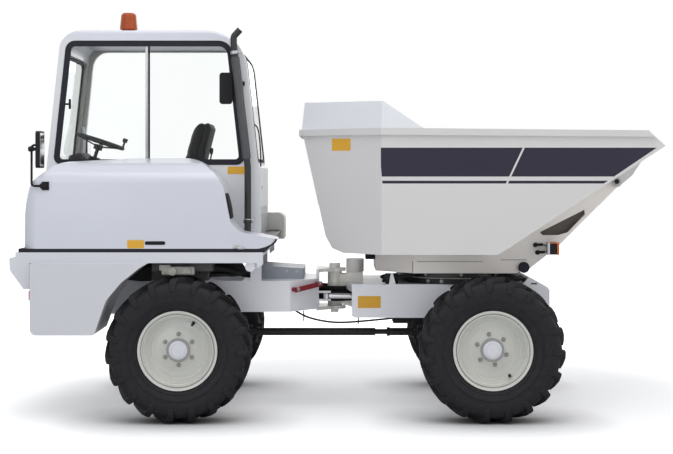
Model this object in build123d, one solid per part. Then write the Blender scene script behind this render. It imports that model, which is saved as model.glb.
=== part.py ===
from build123d import *

import os
from math import atan, cos, degrees, radians, sin

# Articulated four-wheel site dumper with a cab and a swivelling, front-tipping skip.
# Millimetres, +Z up, +X forward towards the skip, +Y to the machine's left.
# The origin lies on the ground below the middle of the machine's length and width.


os.makedirs("parts", exist_ok=True)

# ------------------------------------------------------------------ driving sizes
WHEELBASE = 2210.0            # between the two axles
REAR_OVERHANG = 1186.0        # rear axle to the rear face of the bumper
FRONT_OVERHANG = 1216.0       # front axle to the tip of the skip's lip
TRACK = 1620.0                # between the middles of the two tyres of an axle
PIVOT_FROM_REAR_AXLE = 1100.0  # articulation pivot ahead of the rear axle
SWING_FROM_FRONT_AXLE = -167.0  # turntable axis behind the front axle

TYRE_RADIUS = 512.5
TYRE_WIDTH = 320.0
LUG_HEIGHT = 32.0
LUGS_PER_SIDE = 19
RIM_RADIUS = 280.0            # over the rim's outer flange
RIM_BEAD_RADIUS = 262.0       # where the tyre sits
RIM_WIDTH = 268.0
RIM_WALL = 9.0
DISC_RECESS = 78.0            # wheel disc behind the rim's outer edge
DISC_WALL = 14.0
HUB_CAP_RADIUS = 82.0
HUB_CAP_HEIGHT = 34.0
SPINDLE_RADIUS = 30.0
SPINDLE_CLEARANCE = 0.4

AXLE_TUBE_RADIUS = 72.0
AXLE_HUB_RADIUS = 135.0
AXLE_HUB_GAP = 2.0            # planetary hub to the wheel disc
DIFF_RADIUS = 165.0
DIFF_WIDTH = 250.0
NOSE_RADIUS = 62.0

PLATE = 20.0                  # chassis side plates
FRAME_HALF_WIDTH = 450.0
FRAME_TOP = 963.0             # rear frame, top of the side boxes
FRAME_BOTTOM = 735.0
FRONT_FRAME_TOP = 938.0
FRONT_FRAME_BOTTOM = 692.0
FRONT_FRAME_END = 1563.0
DECK_BOTTOM = 1125.0          # side rails that carry hood, cab and tanks
DECK_TOP = 1200.0
HOOD_BOTTOM = 1226.0
RUBBER_EDGE = HOOD_BOTTOM - DECK_TOP

PIVOT_PIN_RADIUS = 30.0
PIVOT_BARREL_RADIUS = 55.0
PIVOT_RUNNING_GAP = 0.4
PROP_JOINT_REACH = 650.0      # each universal joint from the articulation axis
PROP_HEIGHT = 537.0
PROP_TUBE_RADIUS = 29.0

RING_RADIUS = 475.0           # slewing ring
RING_FIXED = 46.0             # height of the half bolted to the front frame
RING_TURNING = 43.0           # height of the half under the swivel frame
RING_SPLIT = FRONT_FRAME_TOP + RING_FIXED
SWIVEL_BASE_BOTTOM = RING_SPLIT + RING_TURNING
SWIVEL_BASE_TOP = SWIVEL_BASE_BOTTOM + 141.0
SWIVEL_HALF_WIDTH = 550.0

SKIP_HALF_WIDTH = 900.0
SKIP_WALL = 8.0
SKIP_FLOOR = SWIVEL_BASE_TOP + 15.0
SKIP_RIM = SKIP_FLOOR + 894.0
TIP_PIN_X = 2029.0
TIP_PIN_Z = SKIP_FLOOR + 513.0
TIP_PIN_RADIUS = 18.0
RIM_BAND = 46.0
RIM_BAND_OUT = 20.0

CAB_HALF_WIDTH = 500.0
CAB_WALL = 40.0
CAB_FLOOR = HOOD_BOTTOM + 74.0
CAB_TOP = CAB_FLOOR + 1505.0
ROOF_SPLIT = CAB_TOP - 65.0
ROOF_RADIUS = 150.0           # rear corner of the roof in side view
FRONT_ROOF_RADIUS = 300.0

# ------------------------------------------------------------------ stations worked out
LENGTH = REAR_OVERHANG + WHEELBASE + FRONT_OVERHANG
REAR_END = -LENGTH / 2
REAR_AXLE = REAR_END + REAR_OVERHANG
FRONT_AXLE = REAR_AXLE + WHEELBASE
LIP_TIP = FRONT_AXLE + FRONT_OVERHANG
PIVOT = REAR_AXLE + PIVOT_FROM_REAR_AXLE
SWING = FRONT_AXLE + SWING_FROM_FRONT_AXLE
AXLE_HEIGHT = TYRE_RADIUS
WHEEL_Y = TRACK / 2

# ------------------------------------------------------------------ sizes: wheels
TREAD_RADIUS = TYRE_RADIUS - LUG_HEIGHT
# Sections of the bare tyre from its middle to the rim: (across, radius).
CARCASS_SECTIONS = [
    (0.0, TREAD_RADIUS),
    (TYRE_WIDTH / 2 - 22.0, TREAD_RADIUS),
    (TYRE_WIDTH / 2 - 8.0, RIM_RADIUS + 60.0),
    (RIM_WIDTH / 2 - RIM_WALL, RIM_RADIUS + 6.0),
]
FACET_TURN = 7.2              # degrees that bring each facet of the carcass under one lug
LUG_SWEEP = 13.0              # degrees that a lug runs back from the middle to the shoulder
# One lug of the +Y half: (start and end in degrees, across, radius).
LUG_CORNERS = [
    (-2.6, 2.0, 5.0, TYRE_RADIUS),
    (-2.6, 2.0, 5.0, TREAD_RADIUS - 12.0),
    (-LUG_SWEEP - 2.0, -LUG_SWEEP + 4.0, TYRE_WIDTH / 2 - 34.0, TYRE_RADIUS),
    (-LUG_SWEEP - 2.0, -LUG_SWEEP + 4.0, TYRE_WIDTH / 2, TYRE_RADIUS - 72.0),
]
RIM_DISC_INSIDE = RIM_WIDTH / 2 - DISC_RECESS - DISC_WALL - 20.0
HUB_FACE = WHEEL_Y + RIM_DISC_INSIDE - AXLE_HUB_GAP
SPINDLE_END = WHEEL_Y + RIM_WIDTH / 2 - DISC_RECESS + HUB_CAP_HEIGHT - 12.0
PROP_YOKE = 58.0              # from a joint's centre to the face of the axle's nose
PROP_FORK_INSIDE = 34.0       # half the opening of a fork
PROP_FORK_ARM = 14.0
PROP_FORK_GAP = 0.4
# name, axle station, side of the machine (+1 left)
WHEELS = [
    ("rear_left", REAR_AXLE, 1),
    ("rear_right", REAR_AXLE, -1),
    ("front_left", FRONT_AXLE, 1),
    ("front_right", FRONT_AXLE, -1),
]

# ------------------------------------------------------------------ sizes: rear chassis
FRAME_REAR = REAR_AXLE - 1020.0
FRAME_NECK = PIVOT - 330.0    # where the rear frame starts to narrow
FRAME_NOSE = PIVOT - 120.0    # its front plate, behind the pivot
NOSE_HALF_WIDTH = 210.0
FORK_UPPER = 1006.5           # underside of the upper fork plate
FORK_LOWER = 743.5            # upper side of the lower fork plate
FORK_PLATE = 25.0
FORK_HALF_WIDTH = 85.0
TOW_PIN_X = FRAME_REAR - 60.0
TOW_PIN_HOLE = 16.0
TOW_JAW_Z = 790.0
TOW_JAW_PLATE = 20.0
TOW_JAW_OPENING = 60.0
TANK_OUT = 975.0
SIDE_RAIL_OUT = TANK_OUT - 75.0
SIDE_RAIL_WIDTH = 80.0
DECK_REAR = REAR_END + 43.0
DECK_FRONT = REAR_AXLE + 556.0
NOSE_TIP = REAR_AXLE + 703.0  # the moulded cover's nose ahead of the cab
BUMPER_BOTTOM = 942.0
TANK_REAR = REAR_AXLE - 1026.0
TANK_FRONT = REAR_AXLE - 557.0
TANK_BOTTOM = 624.0
TANK_IN = FRAME_HALF_WIDTH

# ------------------------------------------------------------------ sizes: covers
HOOD_SKIN = 10.0
HOOD_TOP = 1866.0
HOOD_REAR = REAR_AXLE - 1098.0
HOOD_NECK = REAR_AXLE + 368.0  # front of the high part, behind the nose
COVER_GAP = 4.0               # hood to the cab's side wall
HOOD_IN = CAB_HALF_WIDTH + COVER_GAP
LEFT_COVER_TOP = 1439.0
ENGINE_OUT = SIDE_RAIL_OUT - 90.0
ENGINE_IN = HOOD_IN + 56.0
SUMP_BOTTOM = DECK_BOTTOM - 65.0
ENGINE_REAR = REAR_AXLE - 320.0
ENGINE_FRONT = REAR_AXLE + 290.0

# ------------------------------------------------------------------ sizes: cab
CAB_REAR = HOOD_REAR + 34.0   # outer face of the rear wall at the floor
CAB_FRONT = REAR_AXLE + 560.0  # outer face of the front wall below the windscreen
CAB_LEAN = 0.107              # how far the rear posts lean forward for each mm of height
SCREEN_STEP = 22.0            # foot of the windscreen behind the front wall
SCREEN_LEAN = 0.11            # the windscreen leans back above the sill
CAB_SILL = CAB_FLOOR + 517.0
WINDOW_FRAME = 77.0           # roof frame above the side window and the doorway
WINDOW_REAR_FRAME = 45.0
WINDOW_FRONT_FRAME = 92.0
WINDOW_CORNERS = (60.0, 73.0, 110.0, 60.0)
WINDOW_DIVISION = REAR_AXLE - 260.0  # middle of the bar between the two panes
DIVISION_HALF = 6.0
SEAL_WIDTH = 42.0
SEAL_DEPTH = 16.0
GLASS = 6.0
SCREEN_CUT = CAB_FRONT - 300.0

# ------------------------------------------------------------------ sizes: driver's place
SEAT_X = REAR_AXLE - 30.0     # rear edge of the cushion; the driver faces the bumper
SEAT_TOP = CAB_FLOOR + 420.0
SEAT_WIDTH = 480.0
WHEEL_RADIUS = 195.0
WHEEL_TILT = 18.4
COLUMN_TOP_X = REAR_AXLE - 727.0
COLUMN_KNEE = CAB_FLOOR + 400.0  # where the steering column leans to the driver
WHEEL_X = REAR_AXLE - 707.0   # middle of the steering wheel's rim
WHEEL_Z = CAB_FLOOR + 702.0
WHEEL_SHAFT = 60.0            # free length of its shaft
SEAT_GAP = 0.3                # between pieces that are carried but turn or lift off

# ------------------------------------------------------------------ sizes: outside fittings
EXHAUST_X = REAR_AXLE + 468.0
EXHAUST_Y = -CAB_HALF_WIDTH - 75.0
EXHAUST_RADIUS = 24.0
EXHAUST_BEND_Z = CAB_SILL - 17.0
EXHAUST_LEAN = 0.113          # above the bend it follows the cab's front post
EXHAUST_CLEARANCE = 8.0
GUARD_RADIUS = EXHAUST_RADIUS + 7.0
GUARD_MIDDLE_Z = (CAB_SILL + CAB_TOP) / 2 - 81.0
GUARD_LENGTH = CAB_TOP - CAB_SILL - 248.0
BEACON_X = REAR_AXLE - 447.0
BEACON_Y = -250.0
MIRROR_X = HOOD_REAR + 73.0   # upright part of a rear mirror's arm
MIRROR_TOP = HOOD_BOTTOM + 728.0
MIRROR_FOOT = MIRROR_TOP - 287.0          # height of the right arm's clamp on the hood
MIRROR_ARM_RADIUS = 8.0
FRONT_MIRROR_X = CAB_FRONT - 302.0  # rear edge of the mirror beside the front post
FRONT_MIRROR_Z = CAB_SILL + 445.0
LOCK_BAR_Z = 912.0
LOCK_BAR_SLOPE = 6.0
LOCK_BAR_OUT = 42.0
VALVE_COVER_HALF = 240.0

# ------------------------------------------------------------------ sizes: front chassis
STEER_EYE_X = PIVOT - 60.0    # steering cylinder's eye on the rear frame
STEER_BASE_X = PIVOT + 450.0  # and its base on the front frame
STEER_Y = -200.0
STEER_Z = 830.0
STEER_BARREL_RADIUS = 40.0
STEER_ROD_RADIUS = 20.0
FRONT_BOX_REAR = PIVOT + 127.0  # rear edge of the side plates
FRONT_BULKHEAD = PIVOT + 520.0  # cross plate that carries the steering cylinder
FRONT_NOSE = PIVOT + 90.0
SHIELD_TOP = FRONT_FRAME_TOP + 55.0  # slope above the front plate
SHIELD_END = FRONT_FRAME_TOP - 20.0
FRONT_NOSE_HALF = 150.0
EYE_Z = 760.0                 # recovery eye on the front plate
EYE_HOLE = 18.0

# ------------------------------------------------------------------ sizes: swivel frame
SWIVEL_REAR = SWING - 637.0
SWIVEL_REAR_HALF = 280.0
SWIVEL_SHOULDER = SWING - 363.0
SWIVEL_PLATE = 20.0
BASE_FRONT = SWING + 378.0
SLOPE_START = FRONT_AXLE + 41.0
SLOPE_RISE = 0.652
ARM_BELOW_SLOPE = 26.0
TIP_BASE_X = SWING + 434.0
TIP_BASE_Z = SWIVEL_BASE_BOTTOM + 51.0
TIP_EYE_X = TIP_PIN_X - 169.0
TIP_EYE_Z = TIP_PIN_Z - 136.0
TIE_START = BASE_FRONT + 340.0  # belly plate that ties the two arms below the cylinder
TIE_END = TIE_START + 130.0

# ------------------------------------------------------------------ sizes: propeller shaft
PROP_SLIP_START = PIVOT + 313.0  # end of the rear half's tube
PROP_COLLAR = PIVOT + 400.0
PROP_SLIP_RADIUS = 20.0
PROP_SLIP_IN = 120.0          # how far the front half's slip reaches into the tube
PROP_SLIP_TRAVEL = 70.0

# ------------------------------------------------------------------ sizes: cylinders
STEER_PIN_RADIUS = 14.0
STEER_BARREL_LENGTH = 300.0
STEER_ROD_LENGTH = 345.0
TIP_BARREL_RADIUS = 45.0
TIP_ROD_RADIUS = 25.0
TIP_BARREL_LENGTH = 560.0
TIP_ROD_LENGTH = 590.0
TIP_LINE = Vector(TIP_EYE_X - TIP_BASE_X, 0, TIP_EYE_Z - TIP_BASE_Z)
TIP_BASE_PIN_RADIUS = 20.0

# ------------------------------------------------------------------ sizes: skip
LIP_HEIGHT = SKIP_FLOOR + (LIP_TIP - SLOPE_START) * SLOPE_RISE
SKIP_REAR = SWING - 1185.0    # rear wall at the rim
SKIP_TOP_FRONT = LIP_TIP - 121.0
GUARD_TOP = SKIP_RIM + 198.0
SKIP_CORNER_X = SWING - 613.0
SKIP_CORNER_Y = 430.0
EAR_GAP = 2.0


# ------------------------------------------------------------------ shared shapes
def outline_xz(points, radii=None):
    """Closed face in the plane of length and height, corners rounded where given."""
    if radii is None:
        wire = Polyline(*points, close=True)
    else:
        wire = FilletPolyline(*points, radius=radii, close=True)
    return make_face(Plane.XZ * wire)


def slab_y(points, y_low, y_high, radii=None):
    """An outline of length and height, given a thickness across the machine."""
    return Pos(0, y_low, 0) * extrude(outline_xz(points, radii), amount=y_high - y_low, dir=(0, 1, 0))


def slab_z(points, z_low, z_high, radii=None):
    """A plan outline, given a height."""
    if radii is None:
        wire = Polyline(*points, close=True)
    else:
        wire = FilletPolyline(*points, radius=radii, close=True)
    return Pos(0, 0, z_low) * extrude(make_face(wire), amount=z_high - z_low)


def block(x_low, x_high, y_low, y_high, z_low, z_high):
    size = (x_high - x_low, y_high - y_low, z_high - z_low)
    middle = ((x_low + x_high) / 2, (y_low + y_high) / 2, (z_low + z_high) / 2)
    return Pos(*middle) * Box(*size)


def rod_y(x, z, radius, y_low, y_high):
    return Pos(x, (y_low + y_high) / 2, z) * Rot(90, 0, 0) * Cylinder(radius, y_high - y_low)


def rod_z(x, y, radius, z_low, z_high):
    return Pos(x, y, (z_low + z_high) / 2) * Cylinder(radius, z_high - z_low)


def rod_x(y, z, radius, x_low, x_high):
    return Pos((x_low + x_high) / 2, y, z) * Rot(0, 90, 0) * Cylinder(radius, x_high - x_low)


def spin_y(profile):
    """A ring round the wheel axis from (distance across, radius) points."""
    face = make_face(Polyline(*profile, close=True))
    return revolve(Plane.YZ * face, axis=Axis.Y)


def mirrored(shape):
    """The same piece on the other side of the machine."""
    return mirror(shape, about=Plane.XZ)


def save(shape, name):
    export_step(shape, f"parts/{name}.step")


# ------------------------------------------------------------------ wheels
def tyre_lug():
    """One slanted block of the tread that turns down over the shoulder."""
    corners = []
    for start, end, across, radius in LUG_CORNERS:
        for turn in (start, end):
            corners.append((radius * sin(radians(turn)), across, radius * cos(radians(turn))))
    return ConvexPolyhedron(corners)


def carcass_band(inner, outer):
    """A faceted ring of the tyre between two sections, a facet for each of its lugs."""
    faces = []
    for across, radius in (inner, outer):
        ring = RegularPolygon(radius, LUGS_PER_SIDE)
        faces.append(Pos(0, across, 0) * Rot(0, FACET_TURN, 0) * Rot(90, 0, 0) * ring)
    return loft(faces, ruled=True)


def half_tyre():
    """The +Y half of the tyre, solid as far as the rim's seat."""
    body = carcass_band(CARCASS_SECTIONS[0], CARCASS_SECTIONS[1])
    body += carcass_band(CARCASS_SECTIONS[1], CARCASS_SECTIONS[2])
    dish = carcass_band(CARCASS_SECTIONS[3], CARCASS_SECTIONS[2])
    pitch = 360.0 / LUGS_PER_SIDE
    lug = tyre_lug()
    return body.fuse(*[Rot(0, turn * pitch, 0) * lug for turn in range(LUGS_PER_SIDE)]) - dish


def tyre():
    """Tyre on the wheel axis; the lugs of its two halves stand half a pitch apart."""
    half = half_tyre()
    other = Rot(0, 180.0 / LUGS_PER_SIDE, 0) * mirrored(half)
    return half + other - rod_y(0, 0, RIM_BEAD_RADIUS, -TYRE_WIDTH, TYRE_WIDTH)


def rim():
    """Dished wheel with its hub cap, the outside towards +Y."""
    half = RIM_WIDTH / 2
    well = RIM_BEAD_RADIUS - 34.0
    disc = half - DISC_RECESS
    section = [
        (half, RIM_RADIUS),
        (half - RIM_WALL, RIM_RADIUS),
        (half - RIM_WALL, RIM_BEAD_RADIUS),
        (48.0, RIM_BEAD_RADIUS - 6.0),
        (26.0, well),
        (-48.0, well),
        (-70.0, RIM_BEAD_RADIUS - 6.0),
        (-half + RIM_WALL, RIM_BEAD_RADIUS),
        (-half + RIM_WALL, RIM_RADIUS),
        (-half, RIM_RADIUS),
        (-half, RIM_BEAD_RADIUS - RIM_WALL),
        (-70.0, RIM_BEAD_RADIUS - 6.0 - RIM_WALL),
        (-48.0, well - RIM_WALL),
        (disc - DISC_WALL - 20.0, well - RIM_WALL),
        (disc - DISC_WALL - 20.0, SPINDLE_RADIUS + SPINDLE_CLEARANCE),
        (disc + HUB_CAP_HEIGHT - 10.0, SPINDLE_RADIUS + SPINDLE_CLEARANCE),
        (disc + HUB_CAP_HEIGHT - 10.0, 0.0),
        (disc + HUB_CAP_HEIGHT, 0.0),
        (disc + HUB_CAP_HEIGHT, HUB_CAP_RADIUS - 14.0),
        (disc + HUB_CAP_HEIGHT - 14.0, HUB_CAP_RADIUS),
        (disc, HUB_CAP_RADIUS),
        (disc - 20.0, RIM_RADIUS - 118.0),
        (disc - 20.0, well - RIM_WALL - 6.0),
        (half - 34.0, RIM_BEAD_RADIUS - 6.0 - RIM_WALL),
        (half - 6.0, RIM_RADIUS - 16.0),
    ]
    return spin_y(section)


def axle(x, joint_x, frame_bottom):
    """Rigid axle: tube, central housing, saddles and a forked nose for the shaft."""
    body = rod_y(x, AXLE_HEIGHT, AXLE_TUBE_RADIUS, -HUB_FACE + 60, HUB_FACE - 60)
    for side in (-1, 1):
        low, high = sorted((side * (HUB_FACE - 120), side * HUB_FACE))
        body += rod_y(x, AXLE_HEIGHT, AXLE_HUB_RADIUS, low, high)
        low, high = sorted((side * (HUB_FACE - 20), side * SPINDLE_END))
        body += rod_y(x, AXLE_HEIGHT, SPINDLE_RADIUS, low, high)
        body += block(x - 70, x + 70, side * 330 - 55, side * 330 + 55, AXLE_HEIGHT, frame_bottom)
    half = DIFF_WIDTH / 2
    housing = [
        (-half, 0),
        (-half, DIFF_RADIUS * 0.62),
        (-half * 0.5, DIFF_RADIUS),
        (half * 0.5, DIFF_RADIUS),
        (half, DIFF_RADIUS * 0.62),
        (half, 0),
    ]
    body += Pos(x, 0, AXLE_HEIGHT) * spin_y(housing)
    ahead = 1 if joint_x > x else -1
    face = joint_x - ahead * PROP_YOKE
    body += rod_x(0, PROP_HEIGHT, NOSE_RADIUS, *sorted((x, face)))
    low, high = sorted((face - ahead, joint_x + ahead * 14))
    for up in (-1, 1):
        z_low, z_high = sorted((up * PROP_FORK_INSIDE, up * (PROP_FORK_INSIDE + PROP_FORK_ARM)))
        body += block(low, high, -18, 18, PROP_HEIGHT + z_low, PROP_HEIGHT + z_high)
    return body


# ------------------------------------------------------------------ rear chassis
def rear_frame():
    """Box frame under hood and cab, its nose a fork that holds the articulation pin."""
    body = None
    for side in (-1, 1):
        low, high = sorted((side * FRAME_HALF_WIDTH, side * (FRAME_HALF_WIDTH - PLATE)))
        plate = block(FRAME_REAR, FRAME_NECK, low, high, FRAME_BOTTOM, FRAME_TOP)
        body = plate if body is None else body + plate
        for x_low, x_high in ((FRAME_REAR, FRAME_REAR + 160), (REAR_AXLE + 480, REAR_AXLE + 560)):
            low, high = sorted((side * FRAME_HALF_WIDTH, side * (FRAME_HALF_WIDTH - 60)))
            body += block(x_low, x_high, low, high, FRAME_TOP - 40, DECK_BOTTOM)
        taper = [
            (FRAME_NECK, side * FRAME_HALF_WIDTH),
            (FRAME_NOSE, side * NOSE_HALF_WIDTH),
            (FRAME_NOSE, side * (NOSE_HALF_WIDTH - PLATE)),
            (FRAME_NECK, side * (FRAME_HALF_WIDTH - PLATE)),
        ]
        body += slab_z(taper, FRAME_BOTTOM, FRAME_TOP)
    half = FRAME_HALF_WIDTH - PLATE / 2
    for x_low, x_high in (
        (FRAME_REAR, FRAME_REAR + PLATE),
        (REAR_AXLE - 90, REAR_AXLE + 90),
        (FRAME_NECK - 90, FRAME_NECK),
    ):
        body += block(x_low, x_high, -half, half, FRAME_BOTTOM, FRAME_TOP - 60)
    top = [
        (REAR_AXLE + 420, -half),
        (FRAME_NECK, -half),
        (FRAME_NOSE, -NOSE_HALF_WIDTH + 10),
        (FRAME_NOSE, NOSE_HALF_WIDTH - 10),
        (FRAME_NECK, half),
        (REAR_AXLE + 420, half),
    ]
    body += slab_z(top, FRAME_TOP - 12, FRAME_TOP)
    nose_low = FORK_LOWER - FORK_PLATE
    nose_high = FORK_UPPER + FORK_PLATE
    body += block(FRAME_NOSE - PLATE, FRAME_NOSE, -NOSE_HALF_WIDTH, NOSE_HALF_WIDTH, nose_low, nose_high)
    ear = [
        (FRAME_NOSE - PLATE, -NOSE_HALF_WIDTH + 20),
        (PIVOT, -FORK_HALF_WIDTH),
        (PIVOT, FORK_HALF_WIDTH),
        (FRAME_NOSE - PLATE, NOSE_HALF_WIDTH - 20),
    ]
    for z_low, z_high in ((nose_low, FORK_LOWER), (FORK_UPPER, nose_high)):
        body += slab_z(ear, z_low, z_high) + rod_z(PIVOT, 0, FORK_HALF_WIDTH, z_low, z_high)
    for z_low in (TOW_JAW_Z, TOW_JAW_Z + TOW_JAW_OPENING + TOW_JAW_PLATE):
        jaw = block(TOW_PIN_X, FRAME_REAR + 5, -50, 50, z_low, z_low + TOW_JAW_PLATE)
        body += jaw + rod_z(TOW_PIN_X, 0, 50, z_low, z_low + TOW_JAW_PLATE)
    body -= rod_z(TOW_PIN_X, 0, TOW_PIN_HOLE, TOW_JAW_Z - 5, TOW_JAW_Z + 200)
    body += rod_z(PIVOT, 0, PIVOT_PIN_RADIUS, nose_low - 30, nose_high + 20)
    body += rod_z(PIVOT, 0, PIVOT_PIN_RADIUS + 12, nose_high, nose_high + 34)
    for z_low in (STEER_Z - 38, STEER_Z + 23):
        body += block(FRAME_NOSE - 5, STEER_EYE_X + 30, STEER_Y - 10, STEER_Y + 25, z_low, z_low + 15)
    return body


def deck_frame():
    """Ladder of side rails and cross beams that carries hood, cab and tanks."""
    inner = SIDE_RAIL_OUT - SIDE_RAIL_WIDTH
    body = None
    for side in (-1, 1):
        low, high = sorted((side * inner, side * SIDE_RAIL_OUT))
        rail = block(DECK_REAR, DECK_FRONT, low, high, DECK_BOTTOM, DECK_TOP)
        body = rail if body is None else body + rail
        flange = [
            (DECK_FRONT, DECK_TOP),
            (DECK_FRONT + 39, DECK_TOP),
            (DECK_FRONT + 39, DECK_BOTTOM - 10),
            (DECK_FRONT, DECK_BOTTOM - 39),
        ]
        body += slab_y(flange, low, high)
    for x in (DECK_REAR, FRAME_REAR + 20, REAR_AXLE + 470, DECK_FRONT - 80):
        body += block(x, x + 80, -inner - 1, inner + 1, DECK_BOTTOM, DECK_TOP)
    boss_low = -SIDE_RAIL_OUT + 10
    body += rod_y(DECK_FRONT - 50, DECK_BOTTOM - 25, 36, boss_low, boss_low + SIDE_RAIL_WIDTH - 10)
    sheet = (DECK_FRONT - 10, NOSE_TIP - 90, -SIDE_RAIL_OUT + 20, SIDE_RAIL_OUT - 20)
    return body + block(*sheet, DECK_TOP - 12, DECK_TOP)


def rear_bumper():
    """Flared steel bumper below the rear edge of the deck."""
    outline = [
        (DECK_REAR, DECK_TOP - 35),
        (REAR_END, DECK_TOP - 40),
        (REAR_END + 3, DECK_BOTTOM - 50),
        (REAR_END + 100, BUMPER_BOTTOM),
        (REAR_END + 141, BUMPER_BOTTOM),
        (REAR_END + 141, DECK_BOTTOM),
        (DECK_REAR, DECK_BOTTOM),
    ]
    return slab_y(outline, -SIDE_RAIL_OUT, SIDE_RAIL_OUT)


def tail_lamps():
    """Flat red lamps on the rear faces of the two tanks."""
    lamps = []
    for side in (-1, 1):
        low, high = sorted((side * (TANK_OUT - 190), side * (TANK_OUT - 30)))
        lamp = block(TANK_REAR - 14, TANK_REAR, low, high, BUMPER_BOTTOM - 74, BUMPER_BOTTOM - 8)
        lamps.append(fillet(lamp.edges().filter_by(Axis.X), 8))
    return Compound(lamps)


def side_tank():
    """Right-hand tank: rounded below, its front edge following the wheel arch."""
    front = TANK_FRONT
    outline = [
        (TANK_REAR, DECK_BOTTOM),
        (TANK_REAR, TANK_BOTTOM),
        (front - 23, TANK_BOTTOM),
        (front, TANK_BOTTOM + 63),
        (front + 63, TANK_BOTTOM + 245),
        (front + 168, TANK_BOTTOM + 369),
        (front + 294, TANK_BOTTOM + 469),
        (front + 347, DECK_BOTTOM),
    ]
    radii = [0, 45, 22, 60, 160, 160, 60, 0]
    return slab_y(outline, -TANK_OUT, -TANK_IN, radii)


# ------------------------------------------------------------------ covers
def hood_body(skin):
    """The hood's outer form, or with a skin thickness the space inside it."""
    side = [
        (HOOD_REAR + skin, HOOD_BOTTOM - skin),
        (HOOD_REAR + 7 + skin, HOOD_BOTTOM + 255),
        (HOOD_REAR + 60 + skin, HOOD_TOP - 180 - skin),
        (HOOD_REAR + 235 + skin, HOOD_TOP - 30 - skin),
        (HOOD_REAR + 760, HOOD_TOP - skin),
        (HOOD_NECK - 260, HOOD_TOP - skin),
        (HOOD_NECK - 60 - skin, HOOD_TOP - 150 - skin),
        (HOOD_NECK - skin, HOOD_BOTTOM + 184 - skin),
        (HOOD_NECK + 65, HOOD_BOTTOM + 119 - skin),
        (NOSE_TIP - 30 - skin, HOOD_BOTTOM + 70 - skin),
        (NOSE_TIP - skin, HOOD_BOTTOM + 58 - skin),
        (NOSE_TIP - 90 - skin, HOOD_BOTTOM - skin),
    ]
    radii = [0, 400, 150, 200, 900, 300, 260, 60, 90, 20, 8, 0]
    low = -SIDE_RAIL_OUT + skin
    high = -HOOD_IN - skin
    body = slab_y(side, low, high, radii)
    section = [
        (low, HOOD_BOTTOM - 2 * skin - 1),
        (low, HOOD_TOP - 130 - skin),
        (low + 120, HOOD_TOP - 40 - skin),
        (high, HOOD_TOP + 1 - skin),
        (high, HOOD_BOTTOM - 2 * skin - 1),
    ]
    across = make_face(Plane.YZ * FilletPolyline(*section, radius=[0, 90, 120, 0, 0], close=True))
    span = NOSE_TIP - HOOD_REAR + 40
    body &= Pos(HOOD_REAR - 20, 0, 0) * extrude(across, amount=span, dir=(1, 0, 0))
    plan = [
        (HOOD_REAR - 1 + skin, high),
        (HOOD_REAR - 1 + skin, low),
        (NOSE_TIP + 1 - skin, low),
        (NOSE_TIP + 1 - skin, high),
    ]
    return body & slab_z(plan, HOOD_BOTTOM - 30, HOOD_TOP + 10, [0, 110, 60, 0])


def engine_hood():
    """Moulded cover over the engine on the right, open below."""
    body = hood_body(0.0) - hood_body(HOOD_SKIN)
    return body - rod_z(EXHAUST_X, EXHAUST_Y, EXHAUST_RADIUS + EXHAUST_CLEARANCE, HOOD_BOTTOM, HOOD_TOP)


def left_cover():
    """Low cover on the left with a step in front of the open cab side."""
    outline = [
        (HOOD_REAR, HOOD_BOTTOM),
        (HOOD_REAR + 7, LEFT_COVER_TOP),
        (HOOD_REAR + 470, LEFT_COVER_TOP),
        (HOOD_REAR + 500, CAB_FLOOR),
        (HOOD_NECK - 150, CAB_FLOOR),
        (HOOD_NECK - 110, LEFT_COVER_TOP),
        (NOSE_TIP - 12, LEFT_COVER_TOP),
        (NOSE_TIP - 12, HOOD_BOTTOM),
    ]
    return slab_y(outline, HOOD_IN, SIDE_RAIL_OUT, [0, 60, 60, 20, 20, 60, 50, 0])


def cab_platform():
    """Floor under the cab, between the covers."""
    outline = [
        (HOOD_REAR + 20, HOOD_BOTTOM),
        (HOOD_REAR + 20, CAB_FLOOR),
        (NOSE_TIP - 16, CAB_FLOOR),
        (NOSE_TIP - 90, HOOD_BOTTOM),
    ]
    return slab_y(outline, -CAB_HALF_WIDTH, CAB_HALF_WIDTH, [0, 10, 14, 0])


def rubber_edge():
    """Black rubber strip between the deck and the covers."""
    ring = block(DECK_REAR + 22, NOSE_TIP - 98, -SIDE_RAIL_OUT, SIDE_RAIL_OUT, DECK_TOP, HOOD_BOTTOM)
    half = SIDE_RAIL_OUT - 60
    inside = block(DECK_REAR + 62, NOSE_TIP - 138, -half, half, DECK_TOP - 5, HOOD_BOTTOM + 5)
    return ring - inside


def engine():
    """Engine and pump as one block on the right of the frame, above the axle."""
    block_high = block(ENGINE_REAR, ENGINE_FRONT, -ENGINE_OUT, -ENGINE_IN, DECK_TOP - 60, HOOD_TOP - 210)
    sump_across = (-ENGINE_OUT + 30, -ENGINE_IN - 40)
    sump = block(ENGINE_REAR + 120, ENGINE_FRONT - 60, *sump_across, SUMP_BOTTOM, DECK_TOP - 60)
    frame_in = -FRAME_HALF_WIDTH + PLATE
    foot_low = FRAME_TOP + 20
    feet = block(ENGINE_REAR + 100, ENGINE_FRONT - 100, -ENGINE_IN - 90, frame_in, foot_low, SUMP_BOTTOM + 50)
    pad = (ENGINE_REAR + 250, ENGINE_FRONT - 250, -FRAME_HALF_WIDTH, frame_in)
    feet += block(*pad, FRAME_TOP, foot_low + 10)
    return block_high + sump + feet


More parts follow.
